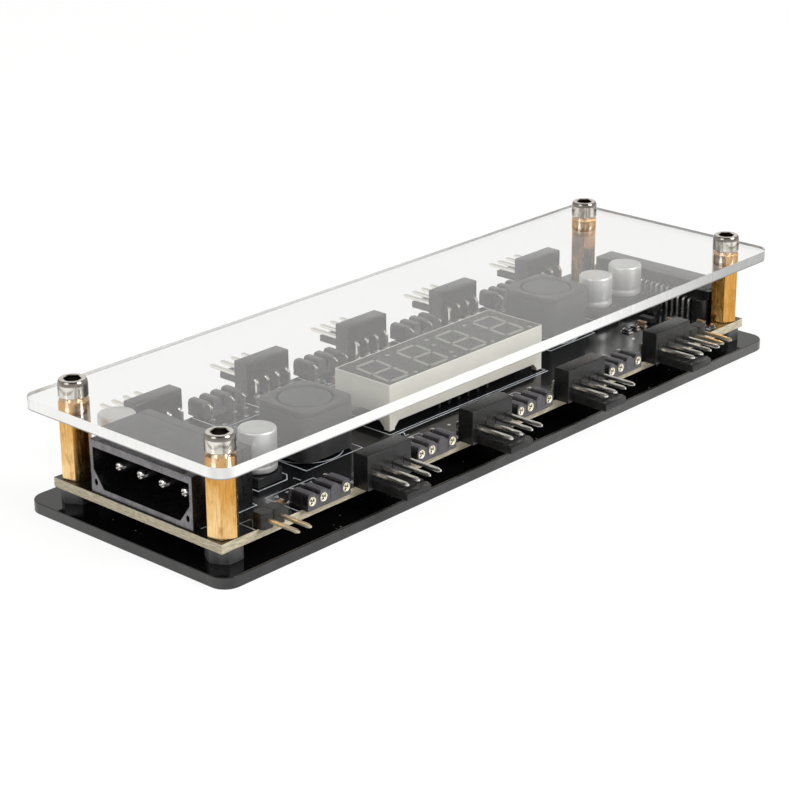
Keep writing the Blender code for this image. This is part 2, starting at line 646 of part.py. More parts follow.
def build_side_connectors(black_plastic):
    header = fan_header()
    socket = smooth(light_socket())
    small = small_header()
    header_y = BOARD_EDGE_Y + HEADER_OVERHANG
    socket_y = BOARD_EDGE_Y + LIGHT_SOCKET_OVERHANG
    near_row = [NEAR_ROW_MIDDLE + offset for offset in centred_offsets(NEAR_FAN_COUNT, GROUP_PITCH)]
    far_row = [FAR_ROW_MIDDLE + offset for offset in centred_offsets(FAR_FAN_COUNT, GROUP_PITCH)]
    for number, x in enumerate(near_row, start=1):
        place(f"fan_header_{number}", header, black_plastic, (x, -header_y, BOARD_TOP))
        x -= SOCKET_REACH + NEAR_SOCKET_SHARE * CHANNEL_GAP
        place(f"light_socket_{number}", socket, black_plastic, (x, -socket_y, BOARD_TOP))
    for number, x in enumerate(far_row, start=NEAR_FAN_COUNT + 1):
        place(f"fan_header_{number}", header, black_plastic, (x, header_y, BOARD_TOP), math.pi)
    for number, x in enumerate(far_row[:-1], start=NEAR_FAN_COUNT + 1):
        x += SOCKET_REACH + FAR_SOCKET_SHARE * CHANNEL_GAP
        place(f"light_socket_{number}", socket, black_plastic, (x, socket_y, BOARD_TOP), math.pi)
    first_x = -FASTENER_X + STANDOFF_REACH + SMALL_HEADER_STANDOFF_GAP + CONTACT_PITCH
    last_x = near_row[-1] + HEADER_WIDTH / 2 + SMALL_HEADER_FAN_GAP + CONTACT_PITCH
    for number, x in enumerate((first_x, last_x), start=1):
        place(f"small_header_{number}", small, black_plastic,
              (x, -BOARD_EDGE_Y - SMALL_HEADER_OVERHANG, BOARD_TOP))


# Display and controller chip

def display_body():
    """The display's case, with feet at its corners and two rows of pins, standing on Z zero."""
    half_length, half_width = DISPLAY_LENGTH / 2, DISPLAY_WIDTH / 2
    top = DISPLAY_HEIGHT - DISPLAY_FACE_THICKNESS - SEAT_GAP
    underside = SEAT_GAP + DISPLAY_FOOT_HEIGHT
    outline = rectangle(-half_length, half_length, -half_width, half_width)
    body = prisms("display_blank", [outline], SEAT_GAP, top)
    tools = []
    for half, reach, along in ((half_length, half_width, "Y"), (half_width, half_length, "X")):
        inner = half - DISPLAY_FOOT_WIDTH
        arch = [(-inner, -CUT_MARGIN), (inner, -CUT_MARGIN), (inner, underside - DISPLAY_FOOT_ARCH),
                (inner - DISPLAY_FOOT_ARCH, underside), (-inner + DISPLAY_FOOT_ARCH, underside),
                (-inner, underside - DISPLAY_FOOT_ARCH)]
        cut = prisms("display_arch", [arch], -reach - CUT_MARGIN, reach + CUT_MARGIN, along)
        tools.append(("DIFFERENCE", cut))
    pins = [[(x + u, y + v) for u, v in square(DISPLAY_PIN_SIDE)]
            for x in centred_offsets(DISPLAY_PINS_PER_ROW, CONTACT_PITCH)
            for y in (-DISPLAY_ROW_SPACING / 2, DISPLAY_ROW_SPACING / 2)]
    tools.append(("UNION", prisms("display_pins", pins, SEAT_GAP, underside + DISPLAY_PIN_SIDE)))
    return combined("display_body", body, *tools)


def build_display(cream_plastic, grey_face, black_plastic):
    x, y = middle_row()[2], DISPLAY_Y
    place("display_body", display_body(), cream_plastic, (x, y, BOARD_TOP))
    half_length, half_width = DISPLAY_LENGTH / 2, DISPLAY_WIDTH / 2
    outline = rectangle(-half_length, half_length, -half_width, half_width)
    face = prisms("display_face", [outline], DISPLAY_HEIGHT - DISPLAY_FACE_THICKNESS, DISPLAY_HEIGHT)
    place("display_face", face, grey_face, (x, y, BOARD_TOP))
    outline = rounded_rectangle(CHIP_SIDE, CHIP_SIDE, CHIP_CORNER, 1)
    chip = prisms("controller_chip", [outline], SEAT_GAP, SEAT_GAP + CHIP_HEIGHT)
    place("controller_chip", chip, black_plastic, (x, y, BOARD_TOP))


# Power parts

def inductor():
    """A square shielded inductor with round corners and the top of its drum inside a ring groove."""
    top = SEAT_GAP + INDUCTOR_HEIGHT
    outline = rounded_rectangle(INDUCTOR_SIDE, INDUCTOR_SIDE, INDUCTOR_CORNER, 3)
    body = prisms("inductor_blank", [outline], SEAT_GAP, top)
    floor, ceiling = top - DRUM_GROOVE_DEPTH, top + CUT_MARGIN
    profile = [(0.0, floor), (DRUM_RADIUS, floor), (DRUM_RADIUS, ceiling), (0.0, ceiling)]
    recess = lathes("drum_recess", profile, DRUM_SEGMENTS)
    inner, root = DRUM_RADIUS - DRUM_GROOVE_WIDTH, floor - DRUM_GROOVE_DEPTH
    drum = lathes("drum_top", [(0.0, root), (inner, root), (inner, top), (0.0, top)], DRUM_SEGMENTS)
    return combined("inductor", body, ("DIFFERENCE", recess), ("UNION", drum))


def capacitor_can():
    """An aluminium can with a rolled groove near its foot, standing on Z zero."""
    radius = CAN_RADIUS
    low, high = CAN_GROOVE_LEVEL - CAN_GROOVE_DEPTH, CAN_GROOVE_LEVEL + CAN_GROOVE_DEPTH
    profile = [(0.0, 0.0), (radius - CAN_EDGE, 0.0), (radius, CAN_EDGE), (radius, low),
               (radius - CAN_GROOVE_DEPTH, CAN_GROOVE_LEVEL), (radius, high),
               (radius, CAN_HEIGHT - CAN_EDGE),
               (radius - CAN_EDGE, CAN_HEIGHT), (0.0, CAN_HEIGHT)]
    return lathes("capacitor_can", profile, CAN_SEGMENTS)


def capacitor_base():
    """A square foot with two cut corners and a metal tab at each side."""
    half, cut = CAP_BASE_SIDE / 2, CAP_BASE_CHAMFER
    outline = [(-half, -half), (half - cut, -half), (half, cut - half), (half, half - cut),
               (half - cut, half), (-half, half)]
    body = prisms("capacitor_base_block", [outline], SEAT_GAP, SEAT_GAP + CAP_BASE_HEIGHT)
    reach, width = half + CAP_TAB_REACH, CAP_TAB_WIDTH / 2
    strip = rectangle(-reach, reach, -width, width)
    tabs = prisms("capacitor_tabs", [strip], SEAT_GAP, SEAT_GAP + CAP_TAB_THICKNESS)
    return combined("capacitor_base", body, ("UNION", tabs))


def build_power_parts(ferrite, aluminium, black_plastic):
    coil = inductor()
    row = middle_row()
    for number, (x, y) in enumerate(zip((row[1], row[3]), INDUCTOR_YS), start=1):
        place(f"inductor_{number}", coil, ferrite, (x, y, BOARD_TOP))
    can = smooth(capacitor_can())
    foot = capacitor_base()
    can_level = BOARD_TOP + SEAT_GAP + CAP_BASE_HEIGHT + SEAT_GAP
    half = CAP_BASE_SIDE / 2
    corner_x = -FASTENER_X + STANDOFF_REACH + CORNER_CAP_GAP + half + CAP_TAB_REACH
    places = [(corner_x, BOARD_EDGE_Y - CORNER_CAP_EDGE - half, 0.0)]
    turns = (0.0, math.pi / 2, math.pi / 2)
    places += zip((row[0], row[4], row[5]), CAPACITOR_YS, turns)
    for number, (x, y, turn) in enumerate(places, start=1):
        place(f"capacitor_can_{number}", can, aluminium, (x, y, can_level))
        place(f"capacitor_base_{number}", foot, black_plastic, (x, y, BOARD_TOP), turn)


# Drive power header

def drive_header():
    """A wide header open to +X, with its mouth at X zero, an L-shaped tongue and a row of leads behind."""
    back = -DRIVE_DEPTH
    low, high = SEAT_GAP, SEAT_GAP + DRIVE_HEIGHT
    outline = [(0.0, -DRIVE_NEAR_MOUTH), (0.0, DRIVE_FAR), (back, DRIVE_FAR), (back, -DRIVE_NEAR_REAR),
               (-DRIVE_RELIEF_DEPTH, -DRIVE_NEAR_MOUTH)]
    body = prisms("drive_blank", [outline], low, high)
    wall = DRIVE_WALL
    cavity = rectangle(wall - DRIVE_NEAR_MOUTH, DRIVE_FAR - wall, low + wall, high - wall)
    hollow = prisms("drive_cavity", [cavity], -DRIVE_CAVITY_DEPTH, CUT_MARGIN, "X")
    middle = (low + high) / 2
    edge, thick = DRIVE_LEAD_ROW / 2 + DRIVE_TONGUE_MARGIN, DRIVE_TONGUE_THICKNESS / 2
    key = edge - DRIVE_TONGUE_THICKNESS
    tongue = [(-edge, middle - thick), (edge, middle - thick), (edge, middle - thick + DRIVE_KEY_HEIGHT),
              (key, middle - thick + DRIVE_KEY_HEIGHT), (key, middle + thick), (-edge, middle + thick)]
    blade = prisms("drive_tongue", [tongue], -DRIVE_CAVITY_DEPTH - wall / 2, -wall / 2, "X")
    bm = bmesh.new()
    radius = DRIVE_BOSS_WIDTH / 2
    for middle_y in (radius - DRIVE_NEAR_REAR, DRIVE_FAR - radius):
        rim = [(back - DRIVE_BOSS_REACH * math.sin(angle), middle_y + radius * math.cos(angle))
               for angle in (math.pi * step / 8 for step in range(9))]
        rim += [(back + wall / 2, middle_y - radius), (back + wall / 2, middle_y + radius)]
        add_prism(bm, rim, low, low + DRIVE_BOSS_HEIGHT)
    bosses = finished(bm, "drive_bosses")
    bm = bmesh.new()
    bend_x, root_x = back - DRIVE_LEAD_REACH, back + DRIVE_LEAD_SIDE
    for offset in centred_offsets(DRIVE_LEADS, DRIVE_LEAD_PITCH):
        path = bent_path((bend_x, offset, SEAT_GAP), (bend_x, offset, DRIVE_LEAD_LEVEL),
                         (root_x, offset, DRIVE_LEAD_LEVEL), DRIVE_LEAD_SIDE)
        add_sweep(bm, [(point, 1.0) for point in path], square(DRIVE_LEAD_SIDE), (0.0, 1.0, 0.0))
    leads = finished(bm, "drive_leads")
    return combined("drive_header", body, ("DIFFERENCE", hollow), ("UNION", blade), ("UNION", bosses),
                    ("UNION", leads))


def build_drive_header(black_plastic):
    place("drive_power_header", drive_header(), black_plastic, (BOARD_EDGE_X, DRIVE_MIDDLE, BOARD_TOP))


def main():
    clear_scene()
    black_acrylic = make_material("black_acrylic", (0.010, 0.010, 0.011), 0.06)
    clear_acrylic = make_material("clear_acrylic", (0.93, 0.94, 0.94), 0.04, alpha=0.3)
    solder_mask = make_material("solder_mask", (0.012, 0.013, 0.014), 0.35)
    brass = make_material("brass", (0.80, 0.52, 0.16), 0.28, 1.0)
    nickel = make_material("nickel", (0.74, 0.71, 0.66), 0.18, 1.0)
    black_nylon = make_material("black_nylon", (0.016, 0.016, 0.017), 0.45)
    black_plastic = make_material("black_plastic", (0.022, 0.022, 0.024), 0.42)
    tin = make_material("tin", (0.78, 0.76, 0.72), 0.25, 1.0)
    cream_plastic = make_material("cream_plastic", (0.72, 0.69, 0.60), 0.45)
    grey_face = make_material("grey_face", (0.30, 0.30, 0.29), 0.35)
    ferrite = make_material("ferrite", (0.055, 0.056, 0.058), 0.55)
    aluminium = make_material("aluminium", (0.72, 0.72, 0.70), 0.30, 1.0)
    build_plates(black_acrylic, clear_acrylic, solder_mask)
    build_fasteners(brass, nickel, black_nylon)
    build_power_inlet(black_plastic, tin)
    build_side_connectors(black_plastic)
    build_display(cream_plastic, grey_face, black_plastic)
    build_power_parts(ferrite, aluminium, black_plastic)
    build_drive_header(black_plastic)


main()
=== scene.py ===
import math

import bmesh
import bpy
from mathutils import Matrix, Vector


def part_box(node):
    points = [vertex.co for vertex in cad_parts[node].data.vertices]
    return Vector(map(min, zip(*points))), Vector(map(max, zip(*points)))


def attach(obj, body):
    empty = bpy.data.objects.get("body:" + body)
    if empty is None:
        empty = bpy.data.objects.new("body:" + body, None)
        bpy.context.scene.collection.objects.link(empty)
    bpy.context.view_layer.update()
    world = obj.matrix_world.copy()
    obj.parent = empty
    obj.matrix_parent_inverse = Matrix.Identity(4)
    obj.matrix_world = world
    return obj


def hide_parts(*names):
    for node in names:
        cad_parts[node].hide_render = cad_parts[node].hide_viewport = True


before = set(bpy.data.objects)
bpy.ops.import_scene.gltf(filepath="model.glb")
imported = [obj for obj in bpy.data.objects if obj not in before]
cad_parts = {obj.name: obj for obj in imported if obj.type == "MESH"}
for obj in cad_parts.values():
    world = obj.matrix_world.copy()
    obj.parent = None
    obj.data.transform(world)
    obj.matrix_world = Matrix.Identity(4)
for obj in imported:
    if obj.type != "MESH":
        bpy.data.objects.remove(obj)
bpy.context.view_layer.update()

bl_info = {
    "name": "Fan controller hub",
    "version": (1, 0, 0),
    "blender": (4, 5, 0),
    "location": "View3D > Sidebar > Hub",
    "description": "Looks of a fan controller hub: a board of connectors between a black base and a clear cover",
    "category": "Object",
}


def numbered(stem, count):
    return [f"{stem}_{n}" for n in range(1, count + 1)]


BODY = "root"
MM = 0.001                 # pieces are drawn in millimetres and stored in metres
BOARD_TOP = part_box("circuit_board")[1].z / MM
FAN_HEADERS = numbered("fan_header", 9)
LIGHT_SOCKETS = numbered("light_socket", 8)
SMALL_HEADERS = numbered("small_header", 2)
STANDOFFS = numbered("standoff", 4)
SPACERS = numbered("base_spacer", 4)
COVER_SCREWS = numbered("cover_screw", 4)
BASE_SCREWS = numbered("base_screw", 4)
POWER_PINS = numbered("power_pin", 4)
INDUCTORS = numbered("inductor", 2)
CANS = numbered("capacitor_can", 4)
CAN_FEET = numbered("capacitor_base", 4)
SEAT_REACH = 0.28          # of a fastener over the gap that the CAD leaves at its seat
BURIED = -0.02             # level inside the board where the wires start
LOBES = 4                  # of a light socket
CONTACT_LOBES = (0, 1, 3)  # the lobes that hold a contact
ACRYLIC_IOR = 1.49
PLASTIC_IOR = 1.48
COATING_IOR = 1.5
FINISHES = {}


# Sizes and colours that a user may change

class HubSizes(bpy.types.PropertyGroup):
    contact_pitch: bpy.props.FloatProperty(
        name="Contact pitch", description="From one pin of a header to the next",
        default=2.54 * MM, min=0.5 * MM, unit="LENGTH")
    pin_side: bpy.props.FloatProperty(
        name="Pin side", description="Side of a square pin", default=0.64 * MM, min=0.2 * MM, unit="LENGTH")
    pin_corner: bpy.props.FloatProperty(
        name="Pin corner", description="Cut off each long edge of a square pin",
        default=0.11 * MM, min=0.0, unit="LENGTH")
    ring_radius: bpy.props.FloatProperty(
        name="Contact ring radius", description="Outside radius of a light socket's contact ring",
        default=0.76 * MM, min=0.2 * MM, unit="LENGTH")
    print_width: bpy.props.FloatProperty(
        name="Printed line width", description="Width of the white lines printed on the board",
        default=0.20 * MM, min=0.05 * MM, unit="LENGTH")
    print_height: bpy.props.FloatProperty(
        name="Printed line height", description="Thickness of the printed ink",
        default=0.03 * MM, min=0.005 * MM, unit="LENGTH")
    segment_width: bpy.props.FloatProperty(
        name="Segment width", description="Width of one bar of a clock figure",
        default=0.75 * MM, min=0.2 * MM, unit="LENGTH")
    figure_height: bpy.props.FloatProperty(
        name="Figure height", description="Height of a clock figure between the middles of its level bars",
        default=9.0 * MM, min=2.0 * MM, unit="LENGTH")


class HubColours(bpy.types.PropertyGroup):
    plastic: bpy.props.FloatVectorProperty(
        name="Connector plastic", description="Moulded plastic of the headers and sockets",
        subtype="COLOR", size=3, min=0, max=1, default=(0.0075, 0.0075, 0.0078))
    brass: bpy.props.FloatVectorProperty(
        name="Brass", description="Standoffs", subtype="COLOR", size=3, min=0, max=1,
        default=(0.77, 0.41, 0.11))
    steel: bpy.props.FloatVectorProperty(
        name="Screw plating", description="Nickel plating of the screws", subtype="COLOR", size=3,
        min=0, max=1, default=(0.76, 0.73, 0.67))
    case: bpy.props.FloatVectorProperty(
        name="Display case", description="Cream case of the clock display", subtype="COLOR", size=3,
        min=0, max=1, default=(0.94, 0.905, 0.80))
    edge: bpy.props.FloatVectorProperty(
        name="Board edge", description="Bare laminate at the board's cut edges", subtype="COLOR",
        size=3, min=0, max=1, default=(0.55, 0.485, 0.355))


# Nodes of materials, trees and the world

def fill(tree, node, inputs):
    """Fills a node's inputs with values, or with links from other nodes' outputs."""
    for key, value in inputs.items():
        socket = node.inputs[key]
        if isinstance(value, bpy.types.NodeSocket):
            tree.links.new(value, socket)
        else:
            socket.default_value = (*value, 1.0)[:4] if socket.type == "RGBA" else value


def wired(tree, kind, inputs=(), **settings):
    """Adds a node with its settings and inputs."""
    node = tree.nodes.new(kind)
    for key, value in settings.items():
        setattr(node, key, value)
    fill(tree, node, dict(inputs))
    return node


# Finishes

class Finish:
    """A material being made: its Principled shader and the nodes that most finishes share."""

    def __init__(self, name, **values):
        self.material = bpy.data.materials.new(name)
        self.material.use_nodes = True
        self.tree = self.material.node_tree
        self.shader = self.tree.nodes["Principled BSDF"]
        fill(self.tree, self.shader, {label.replace("_", " "): value for label, value in values.items()})
        self.coordinates = self.add("ShaderNodeTexCoord").outputs
        FINISHES[name] = self.material

    def add(self, kind, inputs=(), **settings):
        return wired(self.tree, kind, inputs, **settings)

    def axes(self, source="Object"):
        """X, Y and Z of a place in metres, or of the direction that a face looks in."""
        return self.add("ShaderNodeSeparateXYZ", {"Vector": self.coordinates[source]}).outputs

    def noise(self, size, detail=3.0, stretch=(1.0, 1.0, 1.0)):
        """Cloudy variation whose patches are about size millimetres across."""
        place = self.add("ShaderNodeMapping", {"Vector": self.coordinates["Object"], "Scale": stretch})
        return self.add("ShaderNodeTexNoise", {
            "Vector": place.outputs[0], "Scale": 1.0 / (size * MM), "Detail": detail,
            "Roughness": 0.55}).outputs["Fac"]

    def specks(self, size, amount):
        """Small round specks, one here and there, about size millimetres apart."""
        cells = self.add("ShaderNodeTexVoronoi", {
            "Vector": self.coordinates["Object"], "Scale": 1.0 / (size * MM)}, feature="F1")
        return self.span(cells.outputs["Distance"], amount, 0.6 * amount)

    def span(self, value, low, high, to_low=0.0, to_high=1.0):
        return self.add("ShaderNodeMapRange", {
            "Value": value, "From Min": low, "From Max": high, "To Min": to_low,
            "To Max": to_high}).outputs["Result"]

    def maths(self, operation, *values):
        return self.add("ShaderNodeMath", dict(enumerate(values)), operation=operation).outputs[0]

    def times(self, first, second):
        return self.maths("MULTIPLY", first, second)

    def plus(self, first, second):
        return self.maths("ADD", first, second)

    def larger(self, first, second):
        return self.maths("MAXIMUM", first, second)

    def between(self, share, first, second):
        """A number from the first to the second."""
        return self.add("ShaderNodeMix", {0: share, 2: first, 3: second}).outputs[0]

    def blend(self, share, first, second):
        """A colour from the first to the second."""
        return self.add("ShaderNodeMix", {0: share, 6: first, 7: second}, data_type="RGBA").outputs[2]

    def tones(self, texture, low, high, first, second):
        """The first colour where the texture is low, and the second where it is high."""
        return self.blend(self.span(texture, low, high), first, second)

    def drive(self, socket, value):
        self.tree.links.new(value, self.shader.inputs[socket])

    def gloss(self, texture, low, high):
        """Roughness from low to high across a texture."""
        self.drive("Roughness", self.span(texture, 0.3, 0.7, low, high))

    def bump(self, height, depth):
        """Raises the surface by depth millimetres where the height is one."""
        node = self.add("ShaderNodeBump", {"Distance": depth * MM, "Height": height})
        self.drive("Normal", node.outputs["Normal"])

    def upright(self):
        """One on faces that look up or down, zero on the sides, for a solid with level faces."""
        facing = self.axes("Normal")["Z"]
        return self.span(self.times(facing, facing), 0.4, 0.6)

    def show(self, share, other):
        """Lets another shader take the place of the Principled one by a share."""
        choice = self.add("ShaderNodeMixShader", {0: share, 1: self.shader.outputs[0], 2: other.outputs[0]})
        fill(self.tree, self.tree.nodes["Material Output"], {"Surface": choice.outputs[0]})


def shade(colour, factor):
    return tuple(min(1.0, part * factor) for part in colour[:3])


def plastic_finish(name, colour, roughness, grain=0.004, spread=0.35, **values):
    """Moulded plastic: cloudy tone, uneven gloss and a fine grain."""
    f = Finish(name, Roughness=roughness, IOR=PLASTIC_IOR, **values)
    f.drive("Base Color", f.tones(f.noise(1.6, 5.0), 0.35, 0.65, shade(colour, 1 - spread),
                                  shade(colour, 1 + spread)))
    f.gloss(f.noise(0.5, 4.0), roughness - 0.07, roughness + 0.08)
    f.bump(f.noise(0.12), grain)


def metal_finish(name, colour, roughness, stretch=(1.0, 1.0, 0.12), size=0.35, grain=0.0015, spread=0.08,
                 metallic=1.0):
    """Drawn or turned metal: fine streaks, uneven polish and faint tarnish."""
    f = Finish(name, Metallic=metallic, Roughness=roughness)
    f.drive("Base Color", f.tones(f.noise(1.3, 4.0), 0.35, 0.75, shade(colour, 1 + spread / 2),
                                  shade(colour, 1 - spread)))
    streaks = f.noise(size, 4.0, stretch)
    f.gloss(streaks, max(0.03, roughness - 0.06), roughness + 0.08)
    f.bump(streaks, grain)
    return f


# Colour, roughness, depth of the grain in millimetres and spread of the tone
PLASTICS = {
    "socket plastic": ((0.070, 0.066, 0.074), 0.38, 0.003, 0.2),
    # Painted shade: a near-black copy of the socket plastic for the lobes' side faces
    "socket flank": ((0.006, 0.0055, 0.007), 0.40, 0.003),
    "small header plastic": ((0.012, 0.0115, 0.0115), 0.34),
    # One inlet plastic in three copies: near black as painted shade for the housing and its mouth, painted
    # lighter for the rim round the mouth and for the roof
    "inlet plastic": ((0.0040, 0.0040, 0.0042), 0.30, 0.005),
    "inlet rim plastic": ((0.185, 0.177, 0.187), 0.32, 0.004),
    "inlet roof plastic": ((0.045, 0.045, 0.046), 0.40, 0.006),
    "nylon": ((0.060, 0.060, 0.061), 0.36, 0.006),
    "chip mould": ((0.014, 0.014, 0.015), 0.45),
    "segment": ((0.26, 0.26, 0.235), 0.38, 0.002, 0.06),
    "ferrite": ((0.045, 0.045, 0.046), 0.44, 0.010, 0.22),
    "capacitor foot": ((0.022, 0.022, 0.023), 0.42),
    "ceramic": ((0.27, 0.155, 0.075), 0.40, 0.004, 0.25),
    "resistor top": ((0.018, 0.018, 0.020), 0.30, 0.003, 0.3),
}

# Colour, roughness, stretch, size and depth of the streaks, spread of the tone and metallic share
METALS = {
    "bare tin": ((0.80, 0.775, 0.72), 0.18, (1.0, 0.15, 1.0), 0.4, 0.0015, 0.10),
    "inlet tin": ((0.82, 0.80, 0.76), 0.22, (0.15, 1.0, 1.0), 0.4, 0.003, 0.14),
    "gilt": ((0.62, 0.55, 0.41), 0.32, (1.0, 0.15, 1.0), 0.4, 0.001, 0.12),
    "contact gilt": ((0.96, 0.89, 0.70), 0.26, (1.0, 1.0, 1.0), 0.3, 0.001, 0.06, 0.7),
    "solder": ((0.74, 0.745, 0.74), 0.24, (1.0, 1.0, 1.0), 0.3, 0.012, 0.12),
    "lead tin": ((0.66, 0.65, 0.62), 0.30, (1.0, 1.0, 0.2), 0.3, 0.003, 0.12),
    "aluminium": ((0.70, 0.70, 0.695), 0.38, (1.0, 1.0, 0.08), 0.5, 0.0015, 0.06, 0.55),
    "can top": ((0.40, 0.40, 0.395), 0.36, (1.0, 0.12, 1.0), 0.5, 0.0015, 0.06, 0.55),
    # Painted shade for the shoulders and sockets of the cap screws
    "screw oxide": ((0.25, 0.225, 0.205), 0.15, (1.0, 1.0, 1.0), 0.4, 0.002, 0.25),
    # Painted shade: a darkened lead for pin shafts and leads that sit in shadow
    "dark lead": ((0.20, 0.20, 0.20), 0.35),
}


def black_acrylic_finish():
    """Mirror-flat faces with a few specks of dust, and satin cut edges greyed by wear and by painted light and
    shade: the near long side runs from darker than the other sides at its left end to lighter at its right end.
    """
    f = Finish("black acrylic", IOR=ACRYLIC_IOR)
    face = f.upright()
    dust = f.times(f.specks(1.7, 0.10), f.span(f.noise(6.0, 2.0), 0.46, 0.64))
    top = f.blend(dust, (0.0025, 0.0025, 0.0028), (0.30, 0.30, 0.29))
    worn = f.span(f.noise(2.5, 4.0), 0.3, 0.7, 0.0, 0.35)
    # Painted light and shade on the cut edges by the way a side faces: the near long side darkens towards its
    # left end and lightens towards its right end, the other sides keep a middle grey; the noise is wear.
    near_side_wear_and_light = f.plus(f.span(f.axes()["X"], -0.045, 0.045, 0.0, 0.65), worn)
    other_sides_wear_and_light = f.plus(worn, 0.35)
    tone = f.between(f.span(f.axes("Normal")["Y"], -0.5, -0.7), other_sides_wear_and_light, near_side_wear_and_light)
    side = f.blend(tone, (0.017, 0.017, 0.0175), (0.064, 0.063, 0.062))
    f.drive("Base Color", f.blend(face, side, top))
    haze = f.span(f.noise(9.0, 5.0, (1.0, 0.25, 1.0)), 0.35, 0.75, 0.012, 0.05)
    edge_gloss = f.span(f.noise(4.0), 0.3, 0.7, 0.20, 0.34)
    f.drive("Roughness", f.between(face, edge_gloss, f.plus(haze, f.times(dust, 0.6))))
    f.bump(f.noise(6.0), 0.004)


def clear_acrylic_finish():
    """Clear sheet: refracts for the eye, and passes lamp light and soft light straight through."""
    tint, speck = (0.975, 0.978, 0.972), (0.35, 0.35, 0.34)
    f = Finish("clear acrylic", Base_Color=tint, IOR=ACRYLIC_IOR, Transmission_Weight=1.0)
    f.drive("Roughness", f.span(f.noise(12.0, 4.0), 0.45, 0.75, 0.0, 0.02))
    f.drive("Base Color", f.blend(f.specks(7.0, 0.022), tint, speck))
    light = f.add("ShaderNodeLightPath").outputs
    f.show(f.larger(light["Is Shadow Ray"], light["Is Diffuse Ray"]),
           f.add("ShaderNodeBsdfTransparent", {"Color": (0.94, 0.94, 0.94)}))


def acrylic_edge_finish():
    """Sawn, milk-white edge of the clear sheet, with painted shade that dulls it towards the right end, at the
    corners and along its lowest edge, a painted dark line along the top of the far side, and a painted whiter
    tone on the end that faces left.
    """
    f = Finish("clear acrylic edge", IOR=ACRYLIC_IOR)
    x, y, z = f.axes()
    facing_x, facing_y, _ = f.axes("Normal")
    saw = f.noise(0.9, 4.0, (1.0, 1.0, 0.25))
    far_side = f.span(facing_y, 0.2, 0.6)
    # Painted shade: the edge dulls towards the right end, less so on the end that faces right.
    painted_fade = f.larger(f.span(x, 0.012, 0.058, 1.0, 0.34), f.span(facing_x, 0.5, 0.8, 0.0, 0.7))
    milk_and_shade = f.times(painted_fade, f.span(saw, 0.3, 0.7, 0.96, 1.02))
    # Painted shade at the corners, which are the places farthest out, and at the lowest and highest levels,
    # which are the two arrises: the lower arris is darkened all round, and the far side is kept light but for a
    # painted dark line along its upper arris.
    reach = f.plus(f.maths("ABSOLUTE", x), f.maths("ABSOLUTE", y))
    milk_and_shade = f.times(milk_and_shade, f.span(reach, 0.0917, 0.0926, 1.0, 0.76))
    milk_and_shade = f.times(milk_and_shade, f.span(z, 0.01800, 0.01815, 0.25, 1.0))
    painted_arris_line = f.times(far_side, f.span(z, 0.01935, 0.01950))
    milk_and_shade = f.times(f.larger(milk_and_shade, f.times(far_side, 0.9)), f.span(painted_arris_line, 0.0, 1.0, 1.0, 0.0))
    # Painted light: the end that faces left is whiter than the other sides.
    pale = f.blend(f.span(facing_x, -0.5, -0.8), (0.80, 0.80, 0.79), (1.0, 1.0, 0.99))
    f.drive("Base Color", f.blend(milk_and_shade, (0.10, 0.10, 0.10), pale))
    f.gloss(saw, 0.16, 0.30)
    f.bump(saw, 0.004)


def solder_mask_finish(edge):
    """Black mask on the faces, pale streaked glass fibre at the cut edges."""
    f = Finish("solder mask", IOR=COATING_IOR)
    face = f.upright()
    mask = f.tones(f.noise(2.2, 5.0), 0.35, 0.65, (0.0035, 0.0038, 0.0045), (0.0075, 0.0078, 0.0088))
    fibres = f.noise(0.5, 5.0, (0.35, 0.35, 2.2))
    layers = f.noise(0.22, 3.0, (0.08, 0.08, 1.0))
    cut = f.tones(fibres, 0.32, 0.68, shade(edge, 0.62), shade(edge, 1.28))
    cut = f.blend(f.span(layers, 0.55, 0.75, 0.0, 0.45), cut, shade(edge, 0.5))
    f.drive("Base Color", f.blend(face, cut, mask))
    ripple = f.noise(0.8)
    f.drive("Roughness", f.between(face, f.span(fibres, 0.3, 0.7, 0.55, 0.8),
                                   f.span(ripple, 0.3, 0.7, 0.10, 0.18)))
    f.bump(ripple, 0.0025)


def brass_finish(brass):
    """Drawn hexagonal bar with long streaks and oily blotches, and painted light: paler low down and towards the
    left, deeper orange high up, towards the right and on facets that face the near side.
    """
    f = Finish("brass", Metallic=1.0)
    streaks = f.noise(0.35, 5.0, (1.0, 1.0, 0.10))
    blotch = f.noise(1.7, 5.0, (1.0, 1.0, 0.6))
    x, _, z = f.axes()
    rise = f.plus(z, f.span(blotch, 0.3, 0.7, -0.002, 0.002))
    low_tone = f.tones(streaks, 0.3, 0.7, (0.87, 0.55, 0.21), (1.0, 0.75, 0.41))
    high_tone = f.tones(streaks, 0.3, 0.7, (0.55, 0.26, 0.05), brass)
    # Painted shade and reflection: deeper orange with height, towards the right and on facets that face the near
    # side; the blotches only make the height uneven.
    painted_depth = f.plus(f.span(rise, 0.007, 0.0165), f.span(x, -0.03, 0.03, 0.0, 0.8))
    painted_depth = f.plus(painted_depth, f.span(f.axes("Normal")["Y"], -0.3, -0.8, 0.0, 0.35))
    tone = f.blend(f.maths("MINIMUM", painted_depth, 1.0), low_tone, high_tone)
    scratch = f.span(f.noise(0.16, 2.0, (1.0, 1.0, 0.05)), 0.60, 0.70, 0.0, 0.6)
    marks = f.larger(f.span(blotch, 0.56, 0.76, 0.0, 0.75), scratch)
    f.drive("Base Color", f.blend(marks, tone, (brass[0] * 0.50, brass[1] * 0.40, brass[2] * 0.35)))
    f.drive("Roughness", f.span(streaks, 0.25, 0.75, 0.14, 0.32))
    f.bump(f.times(streaks, blotch), 0.010)


